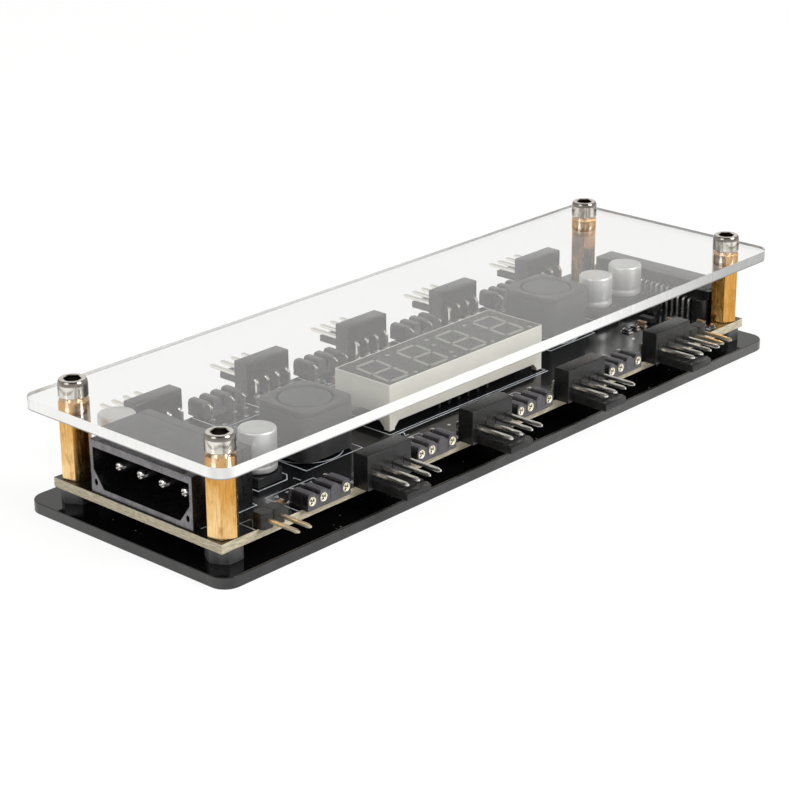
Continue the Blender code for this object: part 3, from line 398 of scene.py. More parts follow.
def nickel_finish(steel):
    """Plating of the screws, with painted dark reflections: darker upright bands by the way a face is turned."""
    f = metal_finish("nickel", steel, 0.13, (1.0, 1.0, 3.0), 0.4, 0.0012, 0.16)
    x, y, _ = f.axes("Normal")
    # Painted reflection: faces turned in certain directions get dark upright bands and dark flanks.
    turn = f.maths("SUBTRACT", x, y)
    painted_band = f.times(f.span(turn, 0.15, 0.32, 0.0, 0.55), f.span(turn, 0.58, 0.42))
    painted_flanks = f.larger(f.span(turn, 0.85, 1.10, 0.0, 0.85), f.span(turn, -1.10, -1.32, 0.0, 0.80))
    plating = f.shader.inputs["Base Color"].links[0].from_socket
    f.drive("Base Color", f.blend(f.larger(painted_band, painted_flanks), plating, (0.15, 0.135, 0.12)))


def display_case_finish(case):
    """Cream plastic that lets a little light in."""
    f = Finish("display case", IOR=COATING_IOR, Subsurface_Weight=0.12,
               Subsurface_Radius=(0.002, 0.0016, 0.0011), Subsurface_Scale=0.6)
    f.drive("Base Color", f.tones(f.noise(5.0, 4.0), 0.3, 0.7, shade(case, 0.95), shade(case, 1.04)))
    f.gloss(f.noise(0.7, 4.0), 0.34, 0.48)
    f.bump(f.noise(0.2), 0.004)


def printed_ink_finish():
    """Slightly worn bluish white."""
    f = Finish("printed ink", IOR=COATING_IOR)
    f.drive("Base Color", f.tones(f.noise(0.45, 5.0), 0.38, 0.66, (0.55, 0.61, 0.65), (0.86, 0.91, 0.94)))
    f.gloss(f.noise(0.3), 0.5, 0.68)
    f.bump(f.noise(0.15), 0.006)


def make_finishes(colours):
    for name, values in PLASTICS.items():
        plastic_finish(name, *values)
    for name, values in METALS.items():
        metal_finish(name, *values)
    plastic_finish("connector plastic", tuple(colours.plastic), 0.32)
    plastic_finish("display face", (0.015, 0.015, 0.014), 0.30, 0.002, 0.12, Specular_IOR_Level=0.25)
    black_acrylic_finish()
    clear_acrylic_finish()
    acrylic_edge_finish()
    solder_mask_finish(tuple(colours.edge))
    brass_finish(tuple(colours.brass))
    nickel_finish(tuple(colours.steel))
    display_case_finish(tuple(colours.case))
    printed_ink_finish()


# Outlines in millimetres

def rectangle(x0, x1, y0, y1):
    return [(x0, y0), (x1, y0), (x1, y1), (x0, y1)]


def chamfered(x0, x1, y0, y1, cut):
    """A rectangle with its four corners cut off."""
    return [(x1, y0 + cut), (x1, y1 - cut), (x1 - cut, y1), (x0 + cut, y1),
            (x0, y1 - cut), (x0, y0 + cut), (x0 + cut, y0), (x1 - cut, y0)]


def square_wire(side, cut):
    return chamfered(-side / 2, side / 2, -side / 2, side / 2, cut)


def cut_square(half, cut, centre=(0.0, 0.0)):
    """A square with two of its corners cut off."""
    points = [(-half, -half), (half - cut, -half), (half, cut - half), (half, half - cut),
              (half - cut, half), (-half, half)]
    return [(centre[0] + x, centre[1] + y) for x, y in points]


def rounded(length, width, radius, steps):
    points = []
    for quarter, (sx, sy) in enumerate(((1, 1), (-1, 1), (-1, -1), (1, -1))):
        for step in range(steps + 1):
            angle = (quarter + step / steps) * math.pi / 2
            points.append((sx * (length / 2 - radius) + radius * math.cos(angle),
                           sy * (width / 2 - radius) + radius * math.sin(angle)))
    return points


def polygon(sides, radius, turn=0.0, centre=(0.0, 0.0)):
    return [(centre[0] + radius * math.cos(turn + math.tau * n / sides),
             centre[1] + radius * math.sin(turn + math.tau * n / sides)) for n in range(sides)]


def closed(points):
    return points + points[:1]


# Solids in millimetres

ORDER = {"Z": lambda u, v, w: (u, v, w), "X": lambda u, v, w: (w, u, v), "Y": lambda u, v, w: (u, w, v)}


def ring(bm, radius, height, sides, centre=(0.0, 0.0), along="Z"):
    """A ring of vertices about a line along Z, X or Y; without a radius it is one vertex."""
    outline = polygon(sides if radius else 1, radius, 0.0, centre)
    return [bm.verts.new(ORDER[along](u, v, height)) for u, v in outline]


def skin(bm, rings, finish=0):
    """Joins each ring of vertices to the next by faces; a ring of one vertex is a pole."""
    for lower, upper in zip(rings, rings[1:]):
        count = max(len(lower), len(upper))
        for i in range(count):
            j = (i + 1) % count
            verts = [lower[k % len(lower)] for k in (i, j)] + [upper[k % len(upper)] for k in (j, i)]
            bm.faces.new(list(dict.fromkeys(verts))).material_index = finish


def tube(bm, rings, finish=0):
    """A solid through rings of vertices, with flat ends."""
    for end in (rings[0], rings[-1]):
        bm.faces.new(end).material_index = finish
    skin(bm, rings, finish)


def prism(bm, outline, low, high, along="Z", finish=0):
    """Extrudes an outline: of (x, y) along Z, (y, z) along X or (x, z) along Y."""
    tube(bm, [[bm.verts.new(ORDER[along](u, v, w)) for u, v in outline] for w in (low, high)], finish)


def block(bm, x, y, z, finish=0):
    prism(bm, rectangle(*x, *y), *z, finish=finish)


def holed(bm, outline, holes, low, high, along="Z"):
    """Extrudes an outline that has holes in it."""
    before = set(bm.faces)
    edges = []
    for loop in [outline, *holes]:
        verts = [bm.verts.new(ORDER[along](u, v, low)) for u, v in loop]
        edges += [bm.edges.new((a, b)) for a, b in zip(verts, verts[1:] + verts[:1])]
    bmesh.ops.triangle_fill(bm, use_beauty=True, use_dissolve=False, edges=edges)
    flat = [face for face in bm.faces if face not in before]
    made = bmesh.ops.extrude_face_region(bm, geom=flat)["geom"]
    shift = Vector(ORDER[along](0.0, 0.0, high - low))
    bmesh.ops.translate(bm, vec=shift, verts=[v for v in made if isinstance(v, bmesh.types.BMVert)])


def lathe(bm, profile, sides, centre=(0.0, 0.0), along="Z", finish=0):
    """Turns (radius, height) points, from axis to axis, about a line along Z, X or Y."""
    skin(bm, [ring(bm, radius, height, sides, centre, along) for radius, height in profile], finish)


def sweep(bm, points, section, side=(1.0, 0.0, 0.0), tip=1.0):
    """Sweeps a section along points of one plane, its first axis along side; tip scales the far end."""
    side = Vector(side)
    rings = []
    for i, point in enumerate(points):
        last = i == len(points) - 1
        before = (point - points[i - 1]).normalized() if i else None
        after = None if last else (points[i + 1] - point).normalized()
        forward = ((before or after) + (after or before)).normalized()
        lift = forward.cross(side) / max(0.3, forward.dot(after or before))
        scale = tip if last else 1.0
        rings.append([bm.verts.new(point + (side * u + lift * v) * scale) for u, v in section])
    tube(bm, rings)


def bent(start, corner, end, radius):
    """Points of a wire from start to end that turns at the corner."""
    start, corner, end = Vector(start), Vector(corner), Vector(end)
    arriving, leaving = (corner - start).normalized(), (end - corner).normalized()
    centre = corner - arriving * radius + leaving * radius
    turn = [centre - leaving * (radius * math.cos(a)) + arriving * (radius * math.sin(a))
            for a in (math.pi / 2 * n / 5 for n in range(6))]
    return [start, *turn, end]


def hexagon_bar(bm, across, low, high, chamfer, turn):
    """A hexagonal bar with softened long edges and chamfered ends."""
    corner, soft, slope, flat_share = across / math.sqrt(3), 0.10, 0.6, 0.475
    rings = []
    for level, cut in ((low, chamfer), (low + chamfer * slope, 0.0), (high - chamfer * slope, 0.0),
                       (high, chamfer)):
        points = []
        for side in range(6):
            for share in (-flat_share, 0.0, flat_share):
                angle = turn + math.tau * (side + share) / 6 + math.pi / 6
                radius = min(across / 2 / math.cos(share * math.tau / 6), corner - soft, corner - cut)
                points.append(bm.verts.new((radius * math.cos(angle), radius * math.sin(angle), level)))
        rings.append(points)
    tube(bm, rings)


# Pieces

def soften(mesh, smooth):
    mesh.shade_smooth()
    mesh.set_sharp_from_angle(angle=math.radians(smooth))


def piece_of(name, mesh, finishes=()):
    """Adds an object for a mesh in metres with named finishes."""
    for finish in finishes:
        mesh.materials.append(FINISHES[finish])
    piece = bpy.data.objects.new(name, mesh)
    bpy.context.scene.collection.objects.link(piece)
    return piece


def evaluated(piece):
    """Replaces a piece's mesh by the result of its modifiers, and removes the modifiers."""
    graph = bpy.context.evaluated_depsgraph_get()
    mesh = bpy.data.meshes.new_from_object(piece.evaluated_get(graph), depsgraph=graph)
    if not mesh.polygons:
        raise RuntimeError(f"{piece.name} came out empty")
    mesh.name = piece.name
    piece.modifiers.clear()
    piece.data = mesh


def solid(name, bm, finishes, bevel=0.0, segments=1, angle=40.0, smooth=20.0):
    """Turns solids drawn in millimetres into one piece, with its edges slightly rounded."""
    bmesh.ops.recalc_face_normals(bm, faces=bm.faces)
    mesh = bpy.data.meshes.new(name)
    bm.to_mesh(mesh)
    bm.free()
    mesh.transform(Matrix.Scale(MM, 4))
    piece = piece_of(name, mesh, finishes)
    if bevel:
        rounding = piece.modifiers.new("rounding", "BEVEL")
        rounding.width = bevel * MM
        rounding.segments = segments
        rounding.limit_method = "ANGLE"
        rounding.angle_limit = math.radians(angle)
        rounding.use_clamp_overlap = True
        evaluated(piece)
    soften(piece.data, smooth)
    return piece


def finish_piece(piece, replaces=()):
    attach(piece, BODY)
    if replaces:
        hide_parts(*replaces)


def dress(node, finish):
    """Gives a carried-over CAD node its finish."""
    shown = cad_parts[node]
    if not shown.material_slots:
        shown.data.materials.append(FINISHES[finish])
    for slot in shown.material_slots:
        slot.material = FINISHES[finish]


def cad_copy(name, node, finishes, bevel, segments):
    """A merged copy of a CAD node's mesh with its edges rounded."""
    bm = bmesh.new()
    bm.from_mesh(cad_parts[node].data)
    bmesh.ops.remove_doubles(bm, verts=bm.verts, dist=1e-6)
    bmesh.ops.dissolve_limit(bm, angle_limit=math.radians(1.0), verts=bm.verts, edges=bm.edges)
    bmesh.ops.scale(bm, vec=(1 / MM, 1 / MM, 1 / MM), verts=bm.verts)
    for face in bm.faces:
        face.material_index = 0
    return solid(name, bm, finishes, bevel, segments)


# Geometry node trees

def new_tree(name, inputs):
    """A tree with named inputs; gives the tree and its input node's outputs."""
    tree = bpy.data.node_groups.new(name, "GeometryNodeTree")
    for label, kind in {"Geometry": "Geometry", **inputs}.items():
        tree.interface.new_socket(name=label, in_out="INPUT", socket_type="NodeSocket" + kind)
    tree.interface.new_socket(name="Geometry", in_out="OUTPUT", socket_type="NodeSocketGeometry")
    return tree, tree.nodes.new("NodeGroupInput").outputs


def row_tree():
    """Rows of one item: a centred row on every point, turned by the point's own angle."""
    tree, given = new_tree("Rows of one item", {
        "Item": "Object", "Count": "Int", "Pitch": "Float", "Finish": "Material", "Second finish": "Material"})

    def add(kind, inputs=(), **settings):
        return wired(tree, kind, inputs, **settings).outputs

    item = add("GeometryNodeObjectInfo", {"Object": given["Item"]})["Geometry"]
    gaps = add("ShaderNodeMath", {0: given["Count"], 1: 1.0}, operation="SUBTRACT")[0]
    reach = add("ShaderNodeMath", {0: gaps, 1: given["Pitch"]}, operation="MULTIPLY")[0]
    back = add("ShaderNodeMath", {0: reach, 1: -0.5}, operation="MULTIPLY")[0]
    start = add("ShaderNodeCombineXYZ", {"X": back})[0]
    step = add("ShaderNodeCombineXYZ", {"X": given["Pitch"]})[0]
    line = add("GeometryNodeMeshLine", {"Count": given["Count"], "Start Location": start, "Offset": step})[0]
    row = add("GeometryNodeInstanceOnPoints", {"Points": line, "Instance": item})[0]
    turn = add("GeometryNodeInputNamedAttribute", {"Name": "turn"}, data_type="FLOAT")["Attribute"]
    about = add("ShaderNodeCombineXYZ", {"Z": turn})[0]
    rotation = add("FunctionNodeEulerToRotation", {0: about})[0]
    placed = add("GeometryNodeInstanceOnPoints", {
        "Points": given["Geometry"], "Instance": row, "Rotation": rotation})[0]
    real = add("GeometryNodeRealizeInstances", {0: placed})[0]
    # Faces of the item's second slot get the second finish
    kept = wired(tree, "GeometryNodeCaptureAttribute", {"Geometry": real}, domain="FACE")
    kept.capture_items.new("INT", "slot")
    fill(tree, kept, {"slot": add("GeometryNodeInputMaterialIndex")[0]})
    chosen = add("FunctionNodeCompare", {2: kept.outputs["slot"], 3: 1}, data_type="INT", operation="EQUAL")[0]
    painted = add("GeometryNodeSetMaterial", {
        "Geometry": kept.outputs["Geometry"], "Material": given["Finish"]})[0]
    painted = add("GeometryNodeSetMaterial", {
        "Geometry": painted, "Selection": chosen, "Material": given["Second finish"]})[0]
    add("NodeGroupOutput", {0: painted})
    return tree


def line_tree():
    """Printed lines: a flat strip along every edge path."""
    tree, given = new_tree("Printed lines", {"Width": "Float", "Height": "Float", "Finish": "Material"})

    def add(kind, inputs=(), **settings):
        return wired(tree, kind, inputs, **settings).outputs[0]

    curve = add("GeometryNodeMeshToCurve", {"Mesh": given["Geometry"]})
    level = add("GeometryNodeSetCurveNormal", {"Curve": curve}, mode="Z_UP")
    strip = add("GeometryNodeCurvePrimitiveQuadrilateral", {"Width": given["Width"], "Height": given["Height"]})
    mesh = add("GeometryNodeCurveToMesh", {"Curve": level, "Profile Curve": strip, "Fill Caps": True})
    real = add("GeometryNodeRealizeInstances", {0: mesh})
    painted = add("GeometryNodeSetMaterial", {"Geometry": real, "Material": given["Finish"]})
    wired(tree, "NodeGroupOutput", {0: painted})
    return tree


def run_tree(name, mesh, tree, values, finishes):
    """Runs a tree over a mesh and leaves one plain mesh that shows its finishes."""
    piece = piece_of(name, mesh)
    modifier = piece.modifiers.new(tree.name, "NODES")
    modifier.node_group = tree
    sockets = {item.name: item.identifier for item in tree.interface.items_tree
               if item.item_type == "SOCKET" and item.in_out == "INPUT"}
    shown = {label: FINISHES[finish] for label, finish in zip(("Finish", "Second finish"), finishes)}
    for label, value in {**values, **shown}.items():
        modifier[sockets[label]] = value
    evaluated(piece)
    if len(finishes) == 1:
        piece.data.materials.clear()
        piece.data.materials.append(FINISHES[finishes[0]])
    return piece


def rows(name, bm, finishes, places, slot, replaces=(), count=1, pitch=0.0, smooth=20.0, **edges):
    """Makes one piece of a drawn item: a centred row of it on each place of (x, y, z, turn)."""
    item = solid(name + "_item", bm, finishes, smooth=smooth, **edges)
    mesh = bpy.data.meshes.new(name)
    mesh.from_pydata([tuple(value * MM for value in place[:3]) for place in places], [], [])
    turn = mesh.attributes.new("turn", "FLOAT", "POINT")
    turn.data.foreach_set("value", [place[3] for place in places])
    tree = bpy.data.node_groups.get("Rows of one item") or row_tree()
    made = run_tree(name, mesh, tree, {"Item": item, "Count": count, "Pitch": pitch * MM}, finishes)
    soften(made.data, smooth)
    finish_piece(made, replaces)
    bpy.data.objects.remove(item, do_unlink=True)


def printed(name, paths, sizes, level):
    """Prints paths of (x, y) points on the board; a closed path ends where it starts."""
    verts, edges = [], []
    for path in paths:
        is_closed = path[0] == path[-1]
        points = path[:-1] if is_closed else path
        first = len(verts)
        verts += [(x * MM, y * MM, level * MM) for x, y in points]
        edges += [(first + n, first + n + 1) for n in range(len(points) - 1)]
        if is_closed:
            edges.append((len(verts) - 1, first))
    mesh = bpy.data.meshes.new(name)
    mesh.from_pydata(verts, edges, [])
    return run_tree(name, mesh, line_tree(), {"Width": sizes.print_width, "Height": sizes.print_height},
                    ["printed ink"])


# Places in millimetres

def corners(node):
    return [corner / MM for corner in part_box(node)]


def middle(node):
    low, high = corners(node)
    return (low + high) / 2


def spots(nodes, level=0.0):
    return [(*middle(node).xy, level, 0.0) for node in nodes]


def inward_of(node):
    """One for a connector on the near side, minus one on the far side."""
    return 1.0 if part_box(node)[1].y < 0 else -1.0


def side_places(nodes, reach):
    """Face middles of connectors along the sides, with the turn that points their pins outwards."""
    places = []
    for node in nodes:
        low, high = corners(node)
        near = inward_of(node) > 0
        places.append(((low.x + high.x) / 2, low.y + reach if near else high.y - reach, BOARD_TOP,
                       0.0 if near else math.pi))
    return places


def row_offsets(pitch, count):
    return [pitch * (n - (count - 1) / 2) for n in range(count)]


# Operators: one for each piece or group of like pieces

class HUB_OT_finishes(bpy.types.Operator):
    """Make the finishes of all pieces"""
    bl_idname = "hub.finishes"
    bl_label = "Finishes"

    def execute(self, context):
        make_finishes(context.scene.hub_colours)
        return {"FINISHED"}


class HUB_OT_plates(bpy.types.Operator):
    """Make the black base sheet and the clear cover sheet, and dress the board"""
    bl_idname = "hub.plates"
    bl_label = "Plates and board"

    def execute(self, context):
        base = cad_copy("base_sheet", "base_plate", ["black acrylic"], 0.12, 1)
        finish_piece(base, ["base_plate"])
        dress("circuit_board", "solder mask")
        low, high = corners("cover_plate")
        centres = [middle(name).xy for name in COVER_SCREWS]
        bore, near_bore = 1.55, 2.0
        bm = bmesh.new()
        holed(bm, rounded(high.x - low.x, high.y - low.y, 3.0, 14),
              [polygon(32, bore, 0.0, centre) for centre in centres], low.z, high.z)
        for face in bm.faces:
            place = face.calc_center_median().xy
            face.normal_update()
            in_bore = any((place - centre).length < near_bore for centre in centres)
            face.material_index = int(abs(face.normal.z) < 0.5 and not in_bore)
        cover = solid("cover_sheet", bm, ["clear acrylic", "clear acrylic edge"])
        finish_piece(cover, ["cover_plate"])
        return {"FINISHED"}


class HUB_OT_fasteners(bpy.types.Operator):
    """Make the brass standoffs, the spacers and the screws"""
    bl_idname = "hub.fasteners"
    bl_label = "Standoffs and screws"

    def execute(self, context):
        places = spots(STANDOFFS)
        bm = bmesh.new()
        hexagon_bar(bm, 4.7, BOARD_TOP, corners("standoff_1")[1].z + SEAT_REACH, 0.22, math.radians(39))
        rows("brass_standoffs", bm, ["brass"], places, "brass", STANDOFFS)

        low, high = corners("base_spacer_1")
        bm = bmesh.new()
        hexagon_bar(bm, 5.5, low.z - SEAT_REACH, high.z + SEAT_REACH, 0.15, 0.0)
        rows("nylon_spacers", bm, ["nylon"], places, "black_nylon", SPACERS)

        # Cap screws: dished hexagon socket and a soft rim; the rim's shoulder and the socket's inside get a
        # painted dark shade in the place of their dark reflections and shadow
        low, top = (corner.z for corner in corners("cover_screw_1"))
        seat, sides = top - 2.6, 48
        profile = [(2.36, seat - SEAT_REACH), (2.45, seat - 0.18), (2.45, top - 0.84), (2.43, top - 0.60),
                   (2.37, top - 0.36), (2.27, top - 0.15), (2.16, top - 0.03), (2.05, top)]
        bm = bmesh.new()
        rings = [ring(bm, radius, height, sides) for radius, height in profile]
        for lower, upper in zip(rings, rings[1:]):
            shoulder = top - 0.95 < lower[0].co.z < top - 0.10
            skin(bm, [lower, upper], int(shoulder))
        bm.faces.new(rings[0])
        mouth = ring(bm, 1.58, top, sides)
        flat, corner, turn = 1.33, 1.53, math.radians(12)
        dish = []
        for n in range(sides):
            angle = math.tau * n / sides
            radius = min(flat / math.cos((angle - turn) % (math.pi / 3) - math.pi / 6), corner)
            dish.append(bm.verts.new((radius * math.cos(angle), radius * math.sin(angle), top - 0.08)))
        floor = [bm.verts.new((vert.co.x, vert.co.y, top - 1.4)) for vert in dish]
        skin(bm, [rings[-1], mouth, dish])
        skin(bm, [dish, floor, [bm.verts.new((0.0, 0.0, top - 1.7))]], 1)
        lathe(bm, [(0.0, low), (0.95, low), (1.25, low + 0.3), (1.25, seat + 0.1), (0.0, seat + 0.1)], 24)
        rows("cap_screws", bm, ["nickel", "screw oxide"], places, "nickel", COVER_SCREWS, smooth=25.0)
        for name in BASE_SCREWS:
            dress(name, "nickel")
        return {"FINISHED"}


def pin_shape(sizes, level, reach, back):
    """A square pin that rises from the board and runs out to a chamfered tip."""
    path = bent((0.0, back, BURIED), (0.0, back, level), (0.0, -reach, level), 0.8)
    path.insert(-1, Vector((0.0, 0.55 - reach, level)))
    bm = bmesh.new()
    sweep(bm, path, square_wire(sizes.pin_side / MM, sizes.pin_corner / MM), tip=0.5)
    return bm


class HUB_OT_fan_headers(bpy.types.Operator):
    """Make the nine fan headers: walls, locking tongues and pins"""
    bl_idname = "hub.fan_headers"
    bl_label = "Fan headers"

    def execute(self, context):
        sizes = context.scene.hub_sizes
        pitch, pins, reach, back = sizes.contact_pitch / MM, 4, 7.5, 4.3
        places = side_places(FAN_HEADERS, reach)
        bm = bmesh.new()
        wall = [(0.0, 0.0), (3.2, 0.0), (3.2, 5.8), (3.0, 6.0), (0.15, 6.0), (0.0, 5.85)]
        prism(bm, wall, -5.08, 5.08, "X")
        for x in row_offsets(pitch, pins):
            block(bm, (x - 0.62, x + 0.62), (-0.10, 0.1), (2.25, 3.55))
            block(bm, (x - 0.75, x + 0.75), (3.1, 3.28), (0.3, 2.6))
        tongue = [(-7.25, 0.0), (1.6, 0.0), (1.6, 1.3), (-5.65, 1.3), (-6.45, 1.48), (-7.25, 1.2)]
        prism(bm, tongue, -3.81, 1.78, "X")
        for x in (-3.81, 1.18):
            block(bm, (x, x + 0.6), (-5.6, 0.1), (1.2, 1.55))
        block(bm, (-3.3, 1.27), (-5.5, -5.3), (1.2, 1.42))
        rows("fan_header_walls", bm, ["connector plastic"], places, "black_plastic", FAN_HEADERS,
             bevel=0.07, segments=2)
        rows("fan_header_pins", pin_shape(sizes, 2.9, reach, back), ["bare tin"], places, "tin",
             count=pins, pitch=pitch)
        # Solder collars where the pins enter the board
        bm = bmesh.new()
        lathe(bm, [(0.0, -0.01), (0.78, -0.01), (0.70, 0.06), (0.45, 0.30), (0.30, 0.42), (0.0, 0.42)], 16)
        feet = [(x, y + back * math.cos(turn), z, turn) for x, y, z, turn in places]
        rows("header_solder", bm, ["solder"], feet, "tin", count=pins, pitch=pitch, smooth=60.0)
        return {"FINISHED"}


def swell(value, power):
    return math.copysign(abs(value) ** power, value)


class HUB_OT_light_sockets(bpy.types.Operator):
    """Make the eight light sockets: lobes, contact rings and tails"""
    bl_idname = "hub.light_sockets"
    bl_label = "Light sockets"

    def execute(self, context):
        sizes = context.scene.hub_sizes
        pitch = sizes.contact_pitch / MM
        places = side_places(LIGHT_SOCKETS, 0.0)
        axis, radius = 1.5, sizes.ring_radius / MM
        bore = radius - 0.06
        bore_depth, lobe_depth, foot_depth = 1.4, 3.7, 4.1
        half_width, half_height, steps = 1.03, 1.36, 28
        offsets = row_offsets(pitch, LOBES)
        bm = bmesh.new()
        for n, x in enumerate(offsets):
            lobe = [(x + half_width * swell(math.cos(a), 0.50),
                     max(0.0, axis + half_height * swell(math.sin(a), 0.80)))
                    for a in (math.tau * k / steps for k in range(steps))]
            outline = [lobe[k] for k in range(steps) if lobe[k] != lobe[k - 1]]
            if n in CONTACT_LOBES:
                holed(bm, outline, [polygon(24, bore, 0.0, (x, axis))], 0.0, bore_depth, "Y")
                prism(bm, outline, bore_depth, lobe_depth, "Y")
            else:
                prism(bm, outline, 0.0, lobe_depth, "Y")
        prism(bm, rectangle(-4.85, 4.85, 0.0, 0.72), 0.01, foot_depth, "Y")
        for x in row_offsets(pitch, LOBES - 1):
            for top, front, back in ((2.25, 0.08, 0.6), (1.0, 0.7, foot_depth)):
                prism(bm, rectangle(x - 0.45, x + 0.45, 0.5, top), front, back, "Y")
        bmesh.ops.recalc_face_normals(bm, faces=bm.faces)
        for face in bm.faces:
            # Side faces behind the front get the painted shade of the flanks.
            face.material_index = int(abs(face.normal.x) > 0.40 and face.calc_center_median().y > 0.02)
        rows("light_socket_bodies", bm, ["socket plastic", "socket flank"], places, "black_plastic",
             LIGHT_SOCKETS, bevel=0.10, segments=2, angle=50.0)

        contacts = [(x + offsets[n] * math.cos(turn), y, z, turn)
                    for x, y, z, turn in places for n in CONTACT_LOBES]
        # Contact ring: a turned sleeve with a broad bright mouth and three spring fingers inside
        bm = bmesh.new()
        inner = radius * 0.66
        for finger in range(3):
            direction = math.radians(75) + finger * math.tau / 3
            arc = [direction + (k / 4 - 0.5) * math.radians(46) for k in range(5)]
            outline = [(share * inner * math.cos(a), axis + share * inner * math.sin(a))
                       for share, angles in ((1.1, arc), (0.22, arc[::-1])) for a in angles]
            prism(bm, outline, 0.10, 0.40, "Y")
        sleeve = [(radius, 0.02), (radius, -0.01), (radius - 0.06, -0.04), (inner + 0.06, 0.0), (inner, 0.06),
                  (inner, 0.30), (bore - 0.02, 0.30), (bore - 0.02, 0.02)]
        skin(bm, closed([ring(bm, r, depth, 28, (0.0, axis), "Y") for r, depth in sleeve]))
        rows("socket_contacts", bm, ["contact gilt"], contacts, "tin", smooth=40.0)

        side, back, rise = 0.45, 4.9, axis + 0.85
        bm = bmesh.new()
        sweep(bm, bent((0.0, back, BURIED), (0.0, back, rise), (0.0, 3.5, rise), side), square_wire(side, 0.08))
        lathe(bm, [(0.0, -0.01), (0.62, -0.01), (0.55, 0.05), (0.30, 0.26), (0.0, 0.30)], 14, (0.0, back))
        rows("socket_tails", bm, ["bare tin"], contacts, "tin", smooth=40.0)
        return {"FINISHED"}


class HUB_OT_small_headers(bpy.types.Operator):
    """Make the two-pin headers at the ends of the near side"""
    bl_idname = "hub.small_headers"
    bl_label = "Two-pin headers"

    def execute(self, context):
        sizes = context.scene.hub_sizes
        pitch, pins, reach = sizes.contact_pitch / MM, 2, 6.5
        places = side_places(SMALL_HEADERS, reach)
        half, depth, height, cut = 1.26, 2.5, 2.7, 0.42
        bm = bmesh.new()
        for x in row_offsets(pitch, pins):
            prism(bm, chamfered(x - half, x + half, 0.0, depth, cut), 0.0, height)
        rows("two_pin_blocks", bm, ["small header plastic"], places, "black_plastic", SMALL_HEADERS,
             bevel=0.10, segments=2)
        rows("two_pin_pins", pin_shape(sizes, 1.45, reach, 3.6), ["gilt"], places, "tin",
             count=pins, pitch=pitch)
        return {"FINISHED"}


class HUB_OT_power_inlet(bpy.types.Operator):
    """Make the power inlet with its ribs and its four round pins"""
    bl_idname = "hub.power_inlet"
    bl_label = "Power inlet"

    def execute(self, context):
        low, high = corners("power_inlet")
        y0, y1, top = low.y, high.y, high.z
        wall, roof, cut, rise = 0.7, 1.3, 2.2, 3.0
        back_wall = high.x - 2.0
        floor, ceiling = low.z + wall, top - roof
        inner0, inner1 = y0 + wall, y1 - wall
        cavity = [(inner0 + cut, floor), (inner1 - cut, floor), (inner1, floor + rise), (inner1, ceiling),
                  (inner0, ceiling), (inner0, floor + rise)]
        cores = [[(y + 0.36 * math.cos(a), floor + 0.8 + 0.52 * math.sin(a))
                  for a in (math.tau * k / 12 for k in range(12))] for y in (inner0 + 0.45, inner1 - 0.45)]
        outside = rectangle(y0, y1, BOARD_TOP, top)
        bm = bmesh.new()
        holed(bm, outside, [cavity, *cores], low.x, back_wall, "X")
        prism(bm, outside, back_wall, high.x, "X")
        bmesh.ops.recalc_face_normals(bm, faces=bm.faces)
        # The mouth's rim face takes the painted lighter copy of the plastic, the roof another, and the rest the
        # near-black painted shade.
        for face in bm.faces:
            spot = face.calc_center_median()
            if face.normal.x < -0.9 and spot.x < low.x + 0.1:
                face.material_index = 1
            elif face.normal.z > 0.9 and spot.z > top - 0.1:
                face.material_index = 2
        housing = solid("inlet_housing", bm, ["inlet plastic", "inlet rim plastic", "inlet roof plastic"],
                        0.12, 2, 60.0)
        finish_piece(housing, ["power_inlet"])

        # Fine ribs across the roof behind the mouth
        bm = bmesh.new()
        prism(bm, [(-0.16, 0.0), (0.16, 0.0), (0.0, 0.12)], 0.0, 1.5, "Y")
        rows("inlet_ribs", bm, ["inlet roof plastic"], [(low.x + 0.2, (y0 + y1) / 2, top - 0.01, -math.pi / 2)],
             "black_plastic", count=40, pitch=0.5)

        # A rolled pin: two half shells with a seam, a rounded nose and a dark bore
        profile = [(0.26, 0.16), (0.40, 0.0), (0.56, 0.03), (0.74, 0.22), (0.90, 0.60), (0.98, 1.1)]
        seam, steps, bore = 0.24, 10, 0.25
        bm = bmesh.new()
        for start in (seam, math.pi + seam):
            arc = [start + (math.pi - 2 * seam) * k / steps for k in range(steps + 1)]
            loops = [[bm.verts.new((x, r * math.cos(a), r * math.sin(a))) for a in arc] for r, x in profile]
            loops.append([bm.verts.new((vert.co.x, vert.co.y * bore, vert.co.z * bore)) for vert in loops[-1]])
            tube(bm, list(zip(*loops)))
        # The shaft behind the nose takes the lead in painted shade.
        lathe(bm, [(0.0, 0.55), (0.80, 0.75), (1.0, 1.15), (1.03, 9.5), (0.0, 9.5)], 24, along="X", finish=1)
        # The tail leaves the back wall and turns down to the board
        path = bent((9.4, 0.0, 0.0), (12.9, 0.0, 0.0), (12.9, 0.0, -4.25), 1.4)
        sweep(bm, path, polygon(24, 1.03), (0.0, 1.0, 0.0))
        tip, level = corners(POWER_PINS[0])[0].x, 10.35
        rows("power_pins", bm, ["inlet tin", "dark lead"],
             [(tip, middle(name).y, level, 0.0) for name in POWER_PINS], "tin", POWER_PINS, smooth=50.0)
        return {"FINISHED"}


# Ends of the seven bars of a clock figure, in half widths and half heights
FIGURE_BARS = (((-1, 1), (1, 1)), ((-1, 0), (1, 0)), ((-1, -1), (1, -1)), ((-1, 0), (-1, 1)), ((1, 0), (1, 1)),
               ((-1, -1), (-1, 0)), ((1, -1), (1, 0)))


